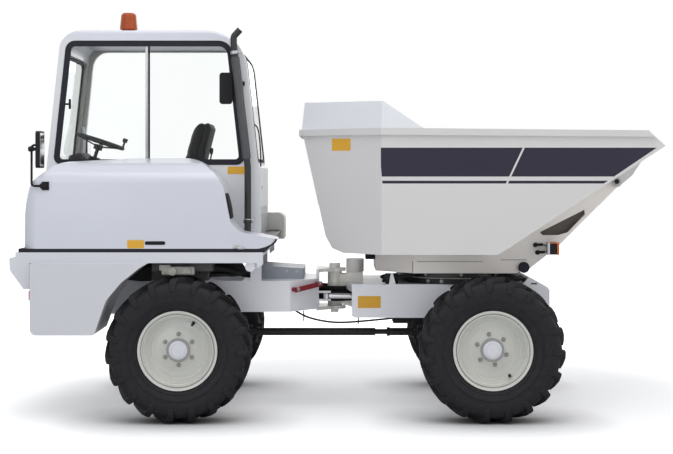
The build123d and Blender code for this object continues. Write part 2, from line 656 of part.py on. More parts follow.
# ------------------------------------------------------------------ cab
def cab_outline(inset, bottom):
    """Side view of the cab, drawn in by an inset; the roof's corners are round."""
    top = CAB_TOP - inset
    rear_top = CAB_REAR + (top - CAB_FLOOR) * CAB_LEAN + inset
    rear_bottom = CAB_REAR + (bottom - CAB_FLOOR) * CAB_LEAN + inset
    screen_foot = CAB_FRONT - SCREEN_STEP - inset
    front_top = screen_foot - (top - CAB_SILL) * SCREEN_LEAN
    points = [(rear_bottom, bottom), (rear_top, top), (front_top, top)]
    radii = [0, max(ROOF_RADIUS - inset, 40.0), FRONT_ROOF_RADIUS - inset]
    if bottom < CAB_SILL:
        wall = CAB_FRONT - inset
        points += [(screen_foot, CAB_SILL), (wall, CAB_SILL - SCREEN_STEP), (wall, bottom)]
        radii += [0, 0, 0]
    else:
        points.append((screen_foot - (bottom - CAB_SILL) * SCREEN_LEAN, bottom))
        radii.append(0)
    return points, radii


def cab_hull():
    """Outside of the cab with softened edges along the roof."""
    points, radii = cab_outline(0.0, CAB_FLOOR)
    return slab_y(points, -CAB_HALF_WIDTH, CAB_HALF_WIDTH, radii)


def window_prism(inset, low, high):
    """Space of the side window, from the sill to the roof frame, drawn in by an inset."""
    bottom = CAB_SILL + inset
    top = CAB_TOP - WINDOW_FRAME - inset
    rear = CAB_REAR + WINDOW_REAR_FRAME + inset
    front = CAB_FRONT - SCREEN_STEP - WINDOW_FRONT_FRAME - inset
    points = [
        (rear + (bottom - CAB_FLOOR) * CAB_LEAN, bottom),
        (rear + (top - CAB_FLOOR) * CAB_LEAN, top),
        (front - (top - CAB_SILL) * SCREEN_LEAN, top),
        (front - (bottom - CAB_SILL) * SCREEN_LEAN, bottom),
    ]
    radii = [max(radius - inset, 25.0) for radius in WINDOW_CORNERS]
    return slab_y(points, low, high, radii)


def screen_opening(inset, front):
    """Space of the windscreen or the rear screen, cut along the machine."""
    half = CAB_HALF_WIDTH - WINDOW_FRAME - inset
    bottom = CAB_SILL + 20 + inset
    top = ROOF_SPLIT - 100 - inset
    low, high = (SCREEN_CUT, CAB_FRONT + 60) if front else (CAB_REAR - 60, CAB_REAR + 330)
    cut = block(low, high, -half, half, bottom, top)
    return fillet(cut.edges().filter_by(Axis.X), 60.0)


def cab_shell():
    """Posts, lower walls and window frames; the left side is an open doorway."""
    inner_points, inner_radii = cab_outline(CAB_WALL, CAB_FLOOR - 1)
    inside = slab_y(inner_points, -CAB_HALF_WIDTH + CAB_WALL, CAB_HALF_WIDTH - CAB_WALL, inner_radii)
    body = cab_hull() - inside
    body -= block(CAB_REAR - 100, CAB_FRONT + 100, -1000, 1000, ROOF_SPLIT, CAB_TOP + 100)
    body -= window_prism(0.0, -CAB_HALF_WIDTH - 10, 0)
    door_points, door_radii = cab_outline(WINDOW_FRAME, CAB_FLOOR + 30)
    doorway = [120.0 if radius else 40.0 for radius in door_radii[:3]] + [0.0, 0.0, 40.0]
    body -= slab_y(door_points, 0, CAB_HALF_WIDTH + 10, doorway)
    body -= screen_opening(0.0, True)
    return body - screen_opening(0.0, False)


def cab_roof():
    """Roof cap with its radiused ends."""
    above = block(CAB_REAR - 100, CAB_FRONT + 100, -1000, 1000, ROOF_SPLIT, CAB_TOP + 100)
    roof = cab_hull() & above
    edges = roof.edges().filter_by(lambda edge: abs(edge.center().Y) > CAB_HALF_WIDTH - 1)
    upper = edges.filter_by(lambda edge: edge.center().Z > ROOF_SPLIT + 1)
    return fillet(upper, 24.0)


def division_bar(low, high):
    """Upright bar that parts the side window into two panes."""
    bottom = CAB_SILL + DIVISION_HALF
    top = CAB_TOP - WINDOW_FRAME - DIVISION_HALF
    return block(WINDOW_DIVISION - DIVISION_HALF, WINDOW_DIVISION + DIVISION_HALF, low, high, bottom, top)


def screen_layer(front, inset, depth):
    """A sheet that follows the cab's front or rear from the sill up into the roof's bend."""
    outer = slab_y(*slab_outline(inset))
    layer = outer - slab_y(*slab_outline(inset + depth))
    middle = (CAB_REAR + CAB_FRONT) / 2
    low, high = (middle, CAB_FRONT + 60) if front else (CAB_REAR - 60, middle)
    return layer & block(low, high, -CAB_HALF_WIDTH, CAB_HALF_WIDTH, CAB_SILL, ROOF_SPLIT)


def slab_outline(inset):
    """Arguments of a slab as wide as the cab, drawn in by an inset."""
    points, radii = cab_outline(inset, CAB_SILL)
    return points, -CAB_HALF_WIDTH, CAB_HALF_WIDTH, radii


def window_seals():
    """Black rubber frames round the side window, the windscreen and the rear screen."""
    low = -CAB_HALF_WIDTH - 3
    high = low + SEAL_DEPTH
    side = window_prism(0.0, low, high) - window_prism(SEAL_WIDTH, low - 5, high + 5)
    seals = [side + division_bar(low, high)]
    for front in (True, False):
        ring = screen_opening(0.0, front) - screen_opening(SEAL_WIDTH * 0.6, front)
        seals.append(ring & screen_layer(front, -3.0, SEAL_DEPTH))
    return Compound(seals)


def cab_glass():
    """Panes of the windscreen, the rear screen and the side window."""
    low = -CAB_HALF_WIDTH + 2
    side = window_prism(SEAL_WIDTH, low, low + GLASS) - division_bar(low - 10, low + 20)
    panes = list(side.solids())
    for front in (True, False):
        panes.append(screen_opening(SEAL_WIDTH * 0.6, front) & screen_layer(front, 2.0, GLASS))
    return Compound(panes)


# ------------------------------------------------------------------ driver's place
def seat():
    """Cushion and backrest of the driver's seat."""
    side = [
        (SEAT_X - 430, SEAT_TOP - 110),
        (SEAT_X - 440, SEAT_TOP),
        (SEAT_X - 40, SEAT_TOP - 30),
        (SEAT_X + 92, SEAT_TOP + 420),
        (SEAT_X + 150, SEAT_TOP + 428),
        (SEAT_X + 150, SEAT_TOP + 380),
        (SEAT_X + 130, SEAT_TOP + 140),
        (SEAT_X + 40, SEAT_TOP - 110),
    ]
    return slab_y(side, -SEAT_WIDTH / 2, SEAT_WIDTH / 2, [20, 40, 60, 25, 25, 20, 60, 30])


def control_console():
    """Seat pedestal with the lever console on its right."""
    body = block(SEAT_X - 380, SEAT_X + 20, -190, 190, CAB_FLOOR, SEAT_TOP - 110)
    body += block(SEAT_X - 340, SEAT_X + 170, -360, -260, CAB_FLOOR, SEAT_TOP - 20)
    body += block(SEAT_X - 340, SEAT_X - 200, -270, -180, CAB_FLOOR, CAB_FLOOR + 120)
    lever = rod_z(SEAT_X + 150, -310, 6, SEAT_TOP - 21, SEAT_TOP + 180)
    knob = rod_z(SEAT_X + 150, -310, 13, SEAT_TOP + 175, SEAT_TOP + 225)
    return body + lever + knob


def dashboard():
    """Steering column with the instrument panel beside it."""
    tilt = radians(WHEEL_TILT)
    down = 68 + WHEEL_SHAFT + SEAT_GAP
    top_x = WHEEL_X - down * sin(tilt)
    top_z = WHEEL_Z - down * cos(tilt)
    column = [
        (COLUMN_TOP_X - 190, CAB_FLOOR),
        (COLUMN_TOP_X - 170, COLUMN_KNEE),
        (top_x - 28 * cos(tilt), top_z + 28 * sin(tilt)),
        (top_x + 28 * cos(tilt), top_z - 28 * sin(tilt)),
        (COLUMN_TOP_X - 60, COLUMN_KNEE - 10),
        (COLUMN_TOP_X - 60, CAB_FLOOR),
    ]
    body = slab_y(column, -70, 70)
    panel = [
        (COLUMN_TOP_X - 190, COLUMN_KNEE + 140),
        (COLUMN_TOP_X - 184, COLUMN_KNEE + 190),
        (COLUMN_TOP_X - 100, COLUMN_KNEE + 212),
        (COLUMN_TOP_X - 40, COLUMN_KNEE + 150),
        (COLUMN_TOP_X - 60, COLUMN_KNEE + 80),
        (COLUMN_TOP_X - 170, COLUMN_KNEE),
    ]
    return body + slab_y(panel, -180, 180, [15, 15, 15, 15, 15, 0])


def steering_wheel():
    """Rim, three dished spokes, hub and the driver's knob, tilted towards the seat."""
    ring = Torus(WHEEL_RADIUS - 14, 14)
    hub = Pos(0, 0, -48) * Cylinder(34, 40)
    body = ring + hub
    for turn in (90, 210, 330):
        slope = 12.0
        spoke = Pos((WHEEL_RADIUS - 14) / 2, 0, -26) * Rot(0, -slope, 0) * Box(WHEEL_RADIUS - 24, 26, 10)
        body += Rot(0, 0, turn) * spoke
    body += Pos(WHEEL_RADIUS - 14, 0, 32) * Cylinder(8, 50) + Pos(WHEEL_RADIUS - 14, 0, 66) * Cylinder(19, 30)
    body += Pos(0, 0, -64 - WHEEL_SHAFT / 2) * Cylinder(14, WHEEL_SHAFT + 8)
    return Pos(WHEEL_X, 0, WHEEL_Z) * Rot(0, WHEEL_TILT, 0) * body


# ------------------------------------------------------------------ outside fittings
def exhaust():
    """Tail pipe: up from the nose, along the front post, then turned forward."""
    top_x = EXHAUST_X - (CAB_TOP - 105 - EXHAUST_BEND_Z) * EXHAUST_LEAN
    corners = [
        (EXHAUST_X, EXHAUST_Y, HOOD_BOTTOM + 24),
        (EXHAUST_X, EXHAUST_Y, EXHAUST_BEND_Z),
        (top_x, EXHAUST_Y, CAB_TOP - 105),
        (top_x, EXHAUST_Y, CAB_TOP - 55),
        (top_x + 46, EXHAUST_Y, CAB_TOP - 5),
    ]
    path = FilletPolyline(*corners, radius=[200, 40, 30])
    pipe = sweep(Plane(path @ 0, z_dir=path % 0) * Circle(EXHAUST_RADIUS), path=path)
    clamp_z = HOOD_BOTTOM + 166
    clamp_low = rod_z(EXHAUST_X, EXHAUST_Y, EXHAUST_RADIUS + 6, clamp_z, clamp_z + 26)
    guard_x = EXHAUST_X - (GUARD_MIDDLE_Z - EXHAUST_BEND_Z) * EXHAUST_LEAN
    lean = Rot(0, -degrees(atan(EXHAUST_LEAN)), 0)
    guard = Pos(guard_x, EXHAUST_Y, GUARD_MIDDLE_Z) * lean * Cylinder(GUARD_RADIUS, GUARD_LENGTH)
    stay = block(top_x - 4, top_x + 26, EXHAUST_Y + 20, -CAB_HALF_WIDTH, CAB_TOP - 183, CAB_TOP - 155)
    return pipe + clamp_low + guard + stay


def beacon():
    """Rotating beacon: dark foot and amber dome."""
    profile = [
        (0, CAB_TOP),
        (52, CAB_TOP),
        (52, CAB_TOP + 26),
        (66, CAB_TOP + 30),
        (66, CAB_TOP + 44),
        (56, CAB_TOP + 138),
        (44, CAB_TOP + 152),
        (0, CAB_TOP + 158),
    ]
    face = make_face(Plane.XZ * Polyline(*profile, close=True))
    return Pos(BEACON_X, BEACON_Y, 0) * revolve(face, axis=Axis.Z)


def rear_mirror(side, foot_z):
    """Bent arm on a clamp with an upright mirror head."""
    y = side * (SIDE_RAIL_OUT + 14)
    low, high = sorted((side * SIDE_RAIL_OUT, side * (SIDE_RAIL_OUT + 8)))
    clamp = block(MIRROR_X + 70, MIRROR_X + 120, low, high, foot_z - 30, foot_z + 30)
    corners = [
        (MIRROR_X + 110, y, foot_z),
        (MIRROR_X, y, foot_z),
        (MIRROR_X, y, MIRROR_TOP),
        (MIRROR_X + 50, y, MIRROR_TOP),
    ]
    path = FilletPolyline(*corners, radius=22)
    arm = sweep(Plane(path @ 0, z_dir=path % 0) * Circle(MIRROR_ARM_RADIUS), path=path)
    head_y = y - side * 30
    head = block(MIRROR_X + 36, MIRROR_X + 67, head_y - 75, head_y + 75, MIRROR_TOP - 161, MIRROR_TOP + 98)
    return clamp + arm + fillet(head.edges().filter_by(Axis.X), 25)


def front_mirror():
    """Small mirror behind the right front post, held by a stay on the post."""
    y = -CAB_HALF_WIDTH - 17
    head = block(FRONT_MIRROR_X, FRONT_MIRROR_X + 94, y - 12, y + 11, FRONT_MIRROR_Z, FRONT_MIRROR_Z + 230)
    head = fillet(head.edges().filter_by(Axis.Y), 22)
    stay_z = FRONT_MIRROR_Z + 150
    post_x = CAB_FRONT - SCREEN_STEP - (stay_z - CAB_SILL) * SCREEN_LEAN - WINDOW_FRONT_FRAME / 2
    stay = rod_x(y, stay_z, MIRROR_ARM_RADIUS, FRONT_MIRROR_X + 84, post_x + 15)
    return head + stay + block(post_x - 15, post_x + 15, y - 8, -CAB_HALF_WIDTH, stay_z - 15, stay_z + 15)


def mirrors():
    """Rear mirrors on the hood's side and on the left cover, and the front one."""
    return Compound([rear_mirror(-1, MIRROR_FOOT), rear_mirror(1, LEFT_COVER_TOP - 60), front_mirror()])


def lock_bar():
    """Red bar, stowed on the right, that locks the articulation for transport."""
    rear = Vector(FRAME_NECK, -FRAME_HALF_WIDTH, 0)
    front = Vector(FRAME_NOSE, -NOSE_HALF_WIDTH, 0)
    along = front - rear
    level = Plane(origin=(rear + front) / 2 + Vector(0, 0, LOCK_BAR_Z), x_dir=along, z_dir=(0, 0, 1))
    length = along.length - 30
    rise = Rot(0, -LOCK_BAR_SLOPE, 0)
    bar = rise * Pos(0, -LOCK_BAR_OUT, 0) * Box(length, 14, 36)
    for end in (-1, 1):
        foot = Pos(end * (length / 2 - 18), -LOCK_BAR_OUT / 2 - 8, 0) * Rot(90, 0, 0)
        bar += rise * foot * Cylinder(17, LOCK_BAR_OUT + 16)
    below = Pos(0, LOCK_BAR_OUT, 0) * Box(2 * length, 2 * LOCK_BAR_OUT, 300)
    return level * (bar - below)


def valve_cover():
    """Cover of the hydraulic valves on top of the rear frame's neck."""
    outline = [
        (FRAME_NECK - 288, FRAME_TOP),
        (FRAME_NECK - 288, FRAME_TOP + 103),
        (FRAME_NECK + 100, FRAME_TOP + 77),
        (FRAME_NECK + 100, FRAME_TOP),
    ]
    body = slab_y(outline, -VALVE_COVER_HALF, VALVE_COVER_HALF)
    return fillet(body.edges().filter_by(Axis.Z), 25)


# ------------------------------------------------------------------ front chassis
def front_frame():
    """Box frame with the articulation barrel behind and the ring's seat on top."""
    body = None
    for side in (-1, 1):
        low, high = sorted((side * FRAME_HALF_WIDTH, side * (FRAME_HALF_WIDTH - PLATE)))
        outline = [
            (FRONT_BOX_REAR, FRONT_FRAME_BOTTOM + 10),
            (FRONT_BOX_REAR, FRONT_FRAME_TOP),
            (FRONT_FRAME_END - 200, FRONT_FRAME_TOP),
            (FRONT_FRAME_END - 150, SHIELD_TOP),
            (FRONT_FRAME_END - 15, SHIELD_END),
            (FRONT_FRAME_END, SHIELD_END - 22),
            (FRONT_FRAME_END, FRONT_FRAME_BOTTOM + 30),
            (FRONT_FRAME_END - 40, FRONT_FRAME_BOTTOM),
            (FRONT_BOX_REAR + 25, FRONT_FRAME_BOTTOM),
        ]
        plate = slab_y(outline, low, high)
        body = plate if body is None else body + plate
        beam = [
            (FRONT_BOX_REAR, side * (FRAME_HALF_WIDTH - 5)),
            (FRONT_NOSE, side * (FRONT_NOSE_HALF - 20)),
            (FRONT_NOSE + PLATE, side * (FRONT_NOSE_HALF - 20)),
            (FRONT_BOX_REAR + PLATE, side * (FRAME_HALF_WIDTH - 5)),
        ]
        body += slab_z(beam, 880, FRONT_FRAME_TOP)
    half = FRAME_HALF_WIDTH - PLATE / 2
    deck = [
        (FRONT_NOSE + 8, -FRONT_NOSE_HALF + 10),
        (FRONT_BOX_REAR + 8, -half),
        (FRONT_FRAME_END - 60, -half),
        (FRONT_FRAME_END - 60, half),
        (FRONT_BOX_REAR + 8, half),
        (FRONT_NOSE + 8, FRONT_NOSE_HALF - 10),
    ]
    body += slab_z(deck, FRONT_FRAME_TOP - 15, FRONT_FRAME_TOP)
    front = [
        (FRONT_FRAME_END - PLATE, FRONT_FRAME_BOTTOM + 20),
        (FRONT_FRAME_END - PLATE, SHIELD_END - 20),
        (FRONT_FRAME_END - 160, SHIELD_TOP - 16),
        (FRONT_FRAME_END - 150, SHIELD_TOP - 2),
        (FRONT_FRAME_END - 15, SHIELD_END - 2),
        (FRONT_FRAME_END, SHIELD_END - 24),
        (FRONT_FRAME_END, FRONT_FRAME_BOTTOM + 20),
    ]
    body += slab_y(front, -half, half)
    lock = [
        (SWING - 544, FRONT_FRAME_TOP - 5),
        (SWING - 530, SWIVEL_BASE_BOTTOM - 10),
        (SWING - 514, SWIVEL_BASE_BOTTOM - 10),
        (SWING - 492, FRONT_FRAME_TOP - 5),
    ]
    body += slab_y(lock, -FRAME_HALF_WIDTH + 5, -FRAME_HALF_WIDTH + 25)
    for x in (FRONT_BULKHEAD, FRONT_AXLE - 90, FRONT_AXLE + 70):
        body += block(x, x + PLATE, -half, half, FRONT_FRAME_BOTTOM, FRONT_FRAME_TOP - 10)
    for side in (-1, 1):
        web = [
            (PIVOT + 40, FORK_LOWER + 20),
            (PIVOT + 40, FORK_UPPER - 20),
            (FRONT_NOSE, FORK_UPPER - 20),
            (FRONT_NOSE + 140, FRONT_FRAME_TOP - 5),
            (FRONT_BULKHEAD + 10, FRONT_FRAME_TOP - 5),
            (FRONT_BULKHEAD + 10, FRONT_FRAME_BOTTOM + 10),
            (PIVOT + 160, FRONT_FRAME_BOTTOM + 30),
        ]
        web_low, web_high = sorted((side * 34, side * 54))
        body += slab_y(web, web_low, web_high)
    barrel_low = FORK_LOWER + PIVOT_RUNNING_GAP
    body += rod_z(PIVOT, 0, PIVOT_BARREL_RADIUS, barrel_low, FORK_UPPER - PIVOT_RUNNING_GAP)
    step_top = FRONT_FRAME_TOP + 65
    body += block(FRONT_NOSE, FRONT_NOSE + 125, -FRONT_NOSE_HALF, FRONT_NOSE_HALF, FRONT_FRAME_TOP, step_top)
    body += rod_z(FRONT_NOSE + 66, 0, 68, step_top, step_top + 97)
    for z in (STEER_Z - 60, STEER_Z + 45):
        body += block(STEER_BASE_X - 40, FRONT_BULKHEAD + 10, STEER_Y - 45, STEER_Y + 45, z, z + 15)
    bore = rod_z(PIVOT, 0, PIVOT_PIN_RADIUS + PIVOT_RUNNING_GAP, FORK_LOWER - 50, FORK_UPPER + 50)
    eye_x = FRONT_FRAME_END + 35
    body += block(FRONT_FRAME_END - 5, eye_x, -10, 10, EYE_Z - 30, EYE_Z + 30)
    body += rod_y(eye_x, EYE_Z, 30, -10, 10)
    body += rod_z(STEER_BASE_X, STEER_Y, STEER_PIN_RADIUS, STEER_Z - 60, STEER_Z + 60)
    return body - bore - rod_y(eye_x, EYE_Z, EYE_HOLE, -11, 11)


def slew_ring():
    """Fixed half of the slewing ring, bolted to the front frame."""
    ring = rod_z(SWING, 0, RING_RADIUS, FRONT_FRAME_TOP, RING_SPLIT - 0.4)
    return ring - rod_z(SWING, 0, RING_RADIUS - 95, FRONT_FRAME_TOP - 1, RING_SPLIT + 1)


# ------------------------------------------------------------------ swivel frame
def arm_edge_height(x):
    """Lower edge of the arms between their knee and the tipping pin."""
    knee_x = BASE_FRONT + 312
    knee_z = SWIVEL_BASE_BOTTOM + 201
    rise = (TIP_PIN_Z - 100 - knee_z) / (TIP_PIN_X - 49 - knee_x)
    return knee_z + (x - knee_x) * rise


def slope_height(x):
    """Underside of the skip's front slope."""
    return SKIP_FLOOR + (x - SLOPE_START) * SLOPE_RISE


def swivel_frame():
    """Turning frame on the ring with two arms up to the tipping pins."""
    plate_points = [
        (SWIVEL_SHOULDER, SWIVEL_BASE_TOP),
        (SWIVEL_SHOULDER, SWIVEL_BASE_BOTTOM),
        (BASE_FRONT, SWIVEL_BASE_BOTTOM),
        (BASE_FRONT + 96, SWIVEL_BASE_BOTTOM + 31),
        (BASE_FRONT + 312, SWIVEL_BASE_BOTTOM + 201),
        (TIP_PIN_X - 49, TIP_PIN_Z - 100),
        (TIP_PIN_X + 30, TIP_PIN_Z - 20),
        (TIP_PIN_X + 10, TIP_PIN_Z + 30),
        (TIP_PIN_X - 60, slope_height(TIP_PIN_X - 60) - ARM_BELOW_SLOPE),
        (SLOPE_START + 20, SWIVEL_BASE_TOP),
    ]
    window = [
        (BASE_FRONT + 195, SWIVEL_BASE_BOTTOM + 278),
        (BASE_FRONT + 175, SWIVEL_BASE_BOTTOM + 300),
        (TIP_PIN_X - 228, TIP_PIN_Z - 205),
        (TIP_PIN_X - 224, TIP_PIN_Z - 240),
        (TIP_PIN_X - 350, TIP_PIN_Z - 370),
        (TIP_PIN_X - 420, TIP_PIN_Z - 391),
    ]
    body = None
    for side in (-1, 1):
        low, high = sorted((side * SWIVEL_HALF_WIDTH, side * (SWIVEL_HALF_WIDTH - SWIVEL_PLATE)))
        plate = slab_y(plate_points, low, high) - slab_y(window, low - 1, high + 1)
        plate += rod_y(TIP_PIN_X, TIP_PIN_Z, 40, low, high)
        plate -= rod_y(TIP_PIN_X, TIP_PIN_Z, TIP_PIN_RADIUS + 0.4, low - 1, high + 1)
        body = plate if body is None else body + plate
        taper = [
            (SWIVEL_SHOULDER, side * SWIVEL_HALF_WIDTH),
            (SWIVEL_REAR, side * SWIVEL_REAR_HALF),
            (SWIVEL_REAR, side * (SWIVEL_REAR_HALF - SWIVEL_PLATE)),
            (SWIVEL_SHOULDER, side * (SWIVEL_HALF_WIDTH - SWIVEL_PLATE)),
        ]
        body += slab_z(taper, SWIVEL_BASE_BOTTOM, SWIVEL_BASE_TOP)
    floor_plan = [
        (SWIVEL_REAR, -SWIVEL_REAR_HALF + 5),
        (SWIVEL_SHOULDER, -SWIVEL_HALF_WIDTH + 5),
        (BASE_FRONT, -SWIVEL_HALF_WIDTH + 5),
        (BASE_FRONT, SWIVEL_HALF_WIDTH - 5),
        (SWIVEL_SHOULDER, SWIVEL_HALF_WIDTH - 5),
        (SWIVEL_REAR, SWIVEL_REAR_HALF - 5),
    ]
    body += slab_z(floor_plan, SWIVEL_BASE_BOTTOM, SWIVEL_BASE_BOTTOM + PLATE)
    inner = SWIVEL_HALF_WIDTH - SWIVEL_PLATE / 2
    rear_half = SWIVEL_REAR_HALF - SWIVEL_PLATE / 2
    rear = (SWIVEL_REAR, SWIVEL_REAR + PLATE, -rear_half, rear_half)
    body += block(*rear, SWIVEL_BASE_BOTTOM, SWIVEL_BASE_TOP)
    body += block(SWING - 60, SWING + 60, -inner, inner, SWIVEL_BASE_BOTTOM, SWIVEL_BASE_TOP)
    body += block(SWIVEL_REAR + 20, SWIVEL_REAR + 120, -200, 200, SWIVEL_BASE_TOP - 25, SKIP_FLOOR - 0.4)
    for side in (-1, 1):
        low, high = sorted((side * 45, side * 70))
        lug = [
            (BASE_FRONT - 120, SWIVEL_BASE_BOTTOM + 5),
            (BASE_FRONT - 120, SWIVEL_BASE_TOP - 20),
            (TIP_BASE_X + 10, TIP_BASE_Z + 48),
            (TIP_BASE_X + 45, TIP_BASE_Z),
            (TIP_BASE_X, SWIVEL_BASE_BOTTOM + 5),
        ]
        body += slab_y(lug, low, high)
    body += rod_y(TIP_BASE_X, TIP_BASE_Z, 20, -70, 70)
    tie = [
        (TIE_START, arm_edge_height(TIE_START)),
        (TIE_END, arm_edge_height(TIE_END)),
        (TIE_END - 9, arm_edge_height(TIE_END) + 9),
        (TIE_START - 9, arm_edge_height(TIE_START) + 9),
    ]
    body += slab_y(tie, -inner, inner)
    turning = rod_z(SWING, 0, RING_RADIUS - 8, RING_SPLIT, SWIVEL_BASE_BOTTOM)
    turning -= rod_z(SWING, 0, RING_RADIUS - 90, RING_SPLIT - 1, SWIVEL_BASE_BOTTOM)
    return body + turning


def rubber_buffers():
    """Rubber rest behind the swivel frame and round stops on its front corners."""
    rest = (SWIVEL_REAR - 70, SWIVEL_REAR, -110, 110)
    pieces = [block(*rest, SWIVEL_BASE_TOP - 67, SWIVEL_BASE_TOP - 7)]
    for side in (-1, 1):
        low, high = sorted((side * SWIVEL_HALF_WIDTH, side * (SWIVEL_HALF_WIDTH + 24)))
        pieces.append(rod_y(BASE_FRONT + 56, SWIVEL_BASE_BOTTOM + 44, 40, low, high))
    return Compound(pieces)


def work_lamps():
    """Head lamps on the swivel frame, outside the arms."""
    lamps = []
    for side in (-1, 1):
        low, high = sorted((side * SWIVEL_HALF_WIDTH, side * (SWIVEL_HALF_WIDTH + 40)))
        x = BASE_FRONT + 245
        stay = block(x, x + 30, low, high, SWIVEL_BASE_TOP + 30, SWIVEL_BASE_TOP + 60)
        low, high = sorted((side * (SWIVEL_HALF_WIDTH + 36), side * (SWIVEL_HALF_WIDTH + 166)))
        box = block(x - 30, x + 42, low, high, SWIVEL_BASE_TOP + 4, SWIVEL_BASE_TOP + 90)
        lamps.append(stay + fillet(box.edges().filter_by(Axis.X), 12))
    return Compound(lamps)


# ------------------------------------------------------------------ propeller shaft
def prop_fork(joint_x, ahead):
    """Cross and fork of a shaft half, pointing ahead (+1) or back (-1)."""
    reach = PROP_FORK_INSIDE - PROP_FORK_GAP
    body = rod_z(joint_x, 0, 13, PROP_HEIGHT - reach, PROP_HEIGHT + reach)
    body += rod_y(joint_x, PROP_HEIGHT, 13, -PROP_FORK_INSIDE, PROP_FORK_INSIDE)
    low, high = sorted((joint_x - ahead * 13, joint_x + ahead * 62))
    for side in (-1, 1):
        y_low, y_high = sorted((side * 22, side * PROP_FORK_INSIDE))
        body += block(low, high, y_low, y_high, PROP_HEIGHT - 16, PROP_HEIGHT + 16)
    return body + rod_x(0, PROP_HEIGHT, 38, *sorted((joint_x + ahead * 50, joint_x + ahead * 66)))


def prop_shaft_rear():
    """Rear half: fork and long tube, hollow at its end for the slip."""
    joint_x = PIVOT - PROP_JOINT_REACH
    body = prop_fork(joint_x, 1) + rod_x(0, PROP_HEIGHT, PROP_TUBE_RADIUS, joint_x + 60, PROP_SLIP_START)
    depth = PROP_SLIP_IN + PROP_SLIP_TRAVEL
    return body - rod_x(0, PROP_HEIGHT, PROP_SLIP_RADIUS + 0.4, PROP_SLIP_START - depth, PROP_SLIP_START + 1)


def prop_shaft_front():
    """Front half: fork, short tube, collar and the slip that slides in the rear tube."""
    joint_x = PIVOT + PROP_JOINT_REACH
    body = prop_fork(joint_x, -1)
    body += rod_x(0, PROP_HEIGHT, PROP_TUBE_RADIUS, PROP_COLLAR, joint_x - 60)
    body += rod_x(0, PROP_HEIGHT, PROP_TUBE_RADIUS + 5, PROP_COLLAR, PROP_COLLAR + 24)
    return body + rod_x(0, PROP_HEIGHT, PROP_SLIP_RADIUS, PROP_SLIP_START - PROP_SLIP_IN, PROP_COLLAR + 2)


# ------------------------------------------------------------------ cylinders
def steer_barrel():
    """Barrel of the steering cylinder, its eye on the front frame's pin."""
    body = rod_z(STEER_BASE_X, STEER_Y, 34, STEER_Z - 43, STEER_Z + 43)
    mouth = STEER_BASE_X - STEER_BARREL_LENGTH
    body += rod_x(STEER_Y, STEER_Z, STEER_BARREL_RADIUS, mouth, STEER_BASE_X - 26)
    body -= rod_z(STEER_BASE_X, STEER_Y, STEER_PIN_RADIUS + 0.4, STEER_Z - 60, STEER_Z + 60)
    return body - rod_x(STEER_Y, STEER_Z, STEER_ROD_RADIUS + 0.4, mouth - 1, STEER_BASE_X - 38)


def steer_rod():
    """Rod of the steering cylinder with the eye at the rear frame's lugs."""
    body = rod_x(STEER_Y, STEER_Z, STEER_ROD_RADIUS, STEER_EYE_X + 16, STEER_EYE_X + STEER_ROD_LENGTH)
    body += rod_z(STEER_EYE_X, STEER_Y, 26, STEER_Z - 20, STEER_Z + 20)
    return body - rod_z(STEER_EYE_X, STEER_Y, STEER_PIN_RADIUS, STEER_Z - 30, STEER_Z + 30)


def along_tip_cylinder(radius, start, end):
    """A round bar on the tipping cylinder's line, distances taken from its base pin."""
    direction = TIP_LINE.normalized()
    middle = Vector(TIP_BASE_X, 0, TIP_BASE_Z) + direction * ((start + end) / 2)
    return Plane(origin=middle, z_dir=direction) * Cylinder(radius, end - start)


def tip_barrel():
    """Barrel of the tipping cylinder, its eye on the swivel frame's pin."""
    body = rod_y(TIP_BASE_X, TIP_BASE_Z, 42, -43, 43)
    body += along_tip_cylinder(TIP_BARREL_RADIUS, 34, TIP_BARREL_LENGTH)
    body -= rod_y(TIP_BASE_X, TIP_BASE_Z, TIP_BASE_PIN_RADIUS + 0.4, -50, 50)
    return body - along_tip_cylinder(TIP_ROD_RADIUS + 0.4, 50, TIP_BARREL_LENGTH + 1)


def tip_rod():
    """Rod of the tipping cylinder with the eye between the skip's lugs."""
    reach = TIP_LINE.length
    body = along_tip_cylinder(TIP_ROD_RADIUS, reach - TIP_ROD_LENGTH, reach - 24)
    body += rod_y(TIP_EYE_X, TIP_EYE_Z, 36, -40, 40)
    return body - rod_y(TIP_EYE_X, TIP_EYE_Z, TIP_PIN_RADIUS, -50, 50)


# ------------------------------------------------------------------ skip
def skip_outline(out):
    """Side view of the tub, its rim at the top."""
    return [
        (SKIP_REAR + 22 - out, GUARD_TOP),
        (SKIP_REAR - out, SKIP_RIM),
        (SKIP_REAR + 175 - out, SKIP_FLOOR + 117),
        (SKIP_REAR + 222 - out, SKIP_FLOOR + 32),
        (SKIP_REAR + 302, SKIP_FLOOR),
        (SLOPE_START, SKIP_FLOOR),
        (LIP_TIP, LIP_HEIGHT),
        (SKIP_TOP_FRONT, SKIP_RIM - 19),
        (SKIP_REAR + 868, SKIP_RIM - 4),
        (SKIP_REAR + 582, GUARD_TOP - 10),
    ]


def skip_corner(side, out):
    """Space outside a bevelled rear corner of the tub."""
    shift = out * 1.2
    plan = [
        (SKIP_REAR - 200, side * (SKIP_CORNER_Y - 165 + shift)),
        (SKIP_CORNER_X, side * (SKIP_HALF_WIDTH + shift)),
        (SKIP_CORNER_X + 200, side * (SKIP_HALF_WIDTH + 165 + shift)),
        (SKIP_REAR - 200, side * (SKIP_HALF_WIDTH + 165 + shift)),
    ]
    return slab_z(plan, SKIP_FLOOR - 100, GUARD_TOP + 100)


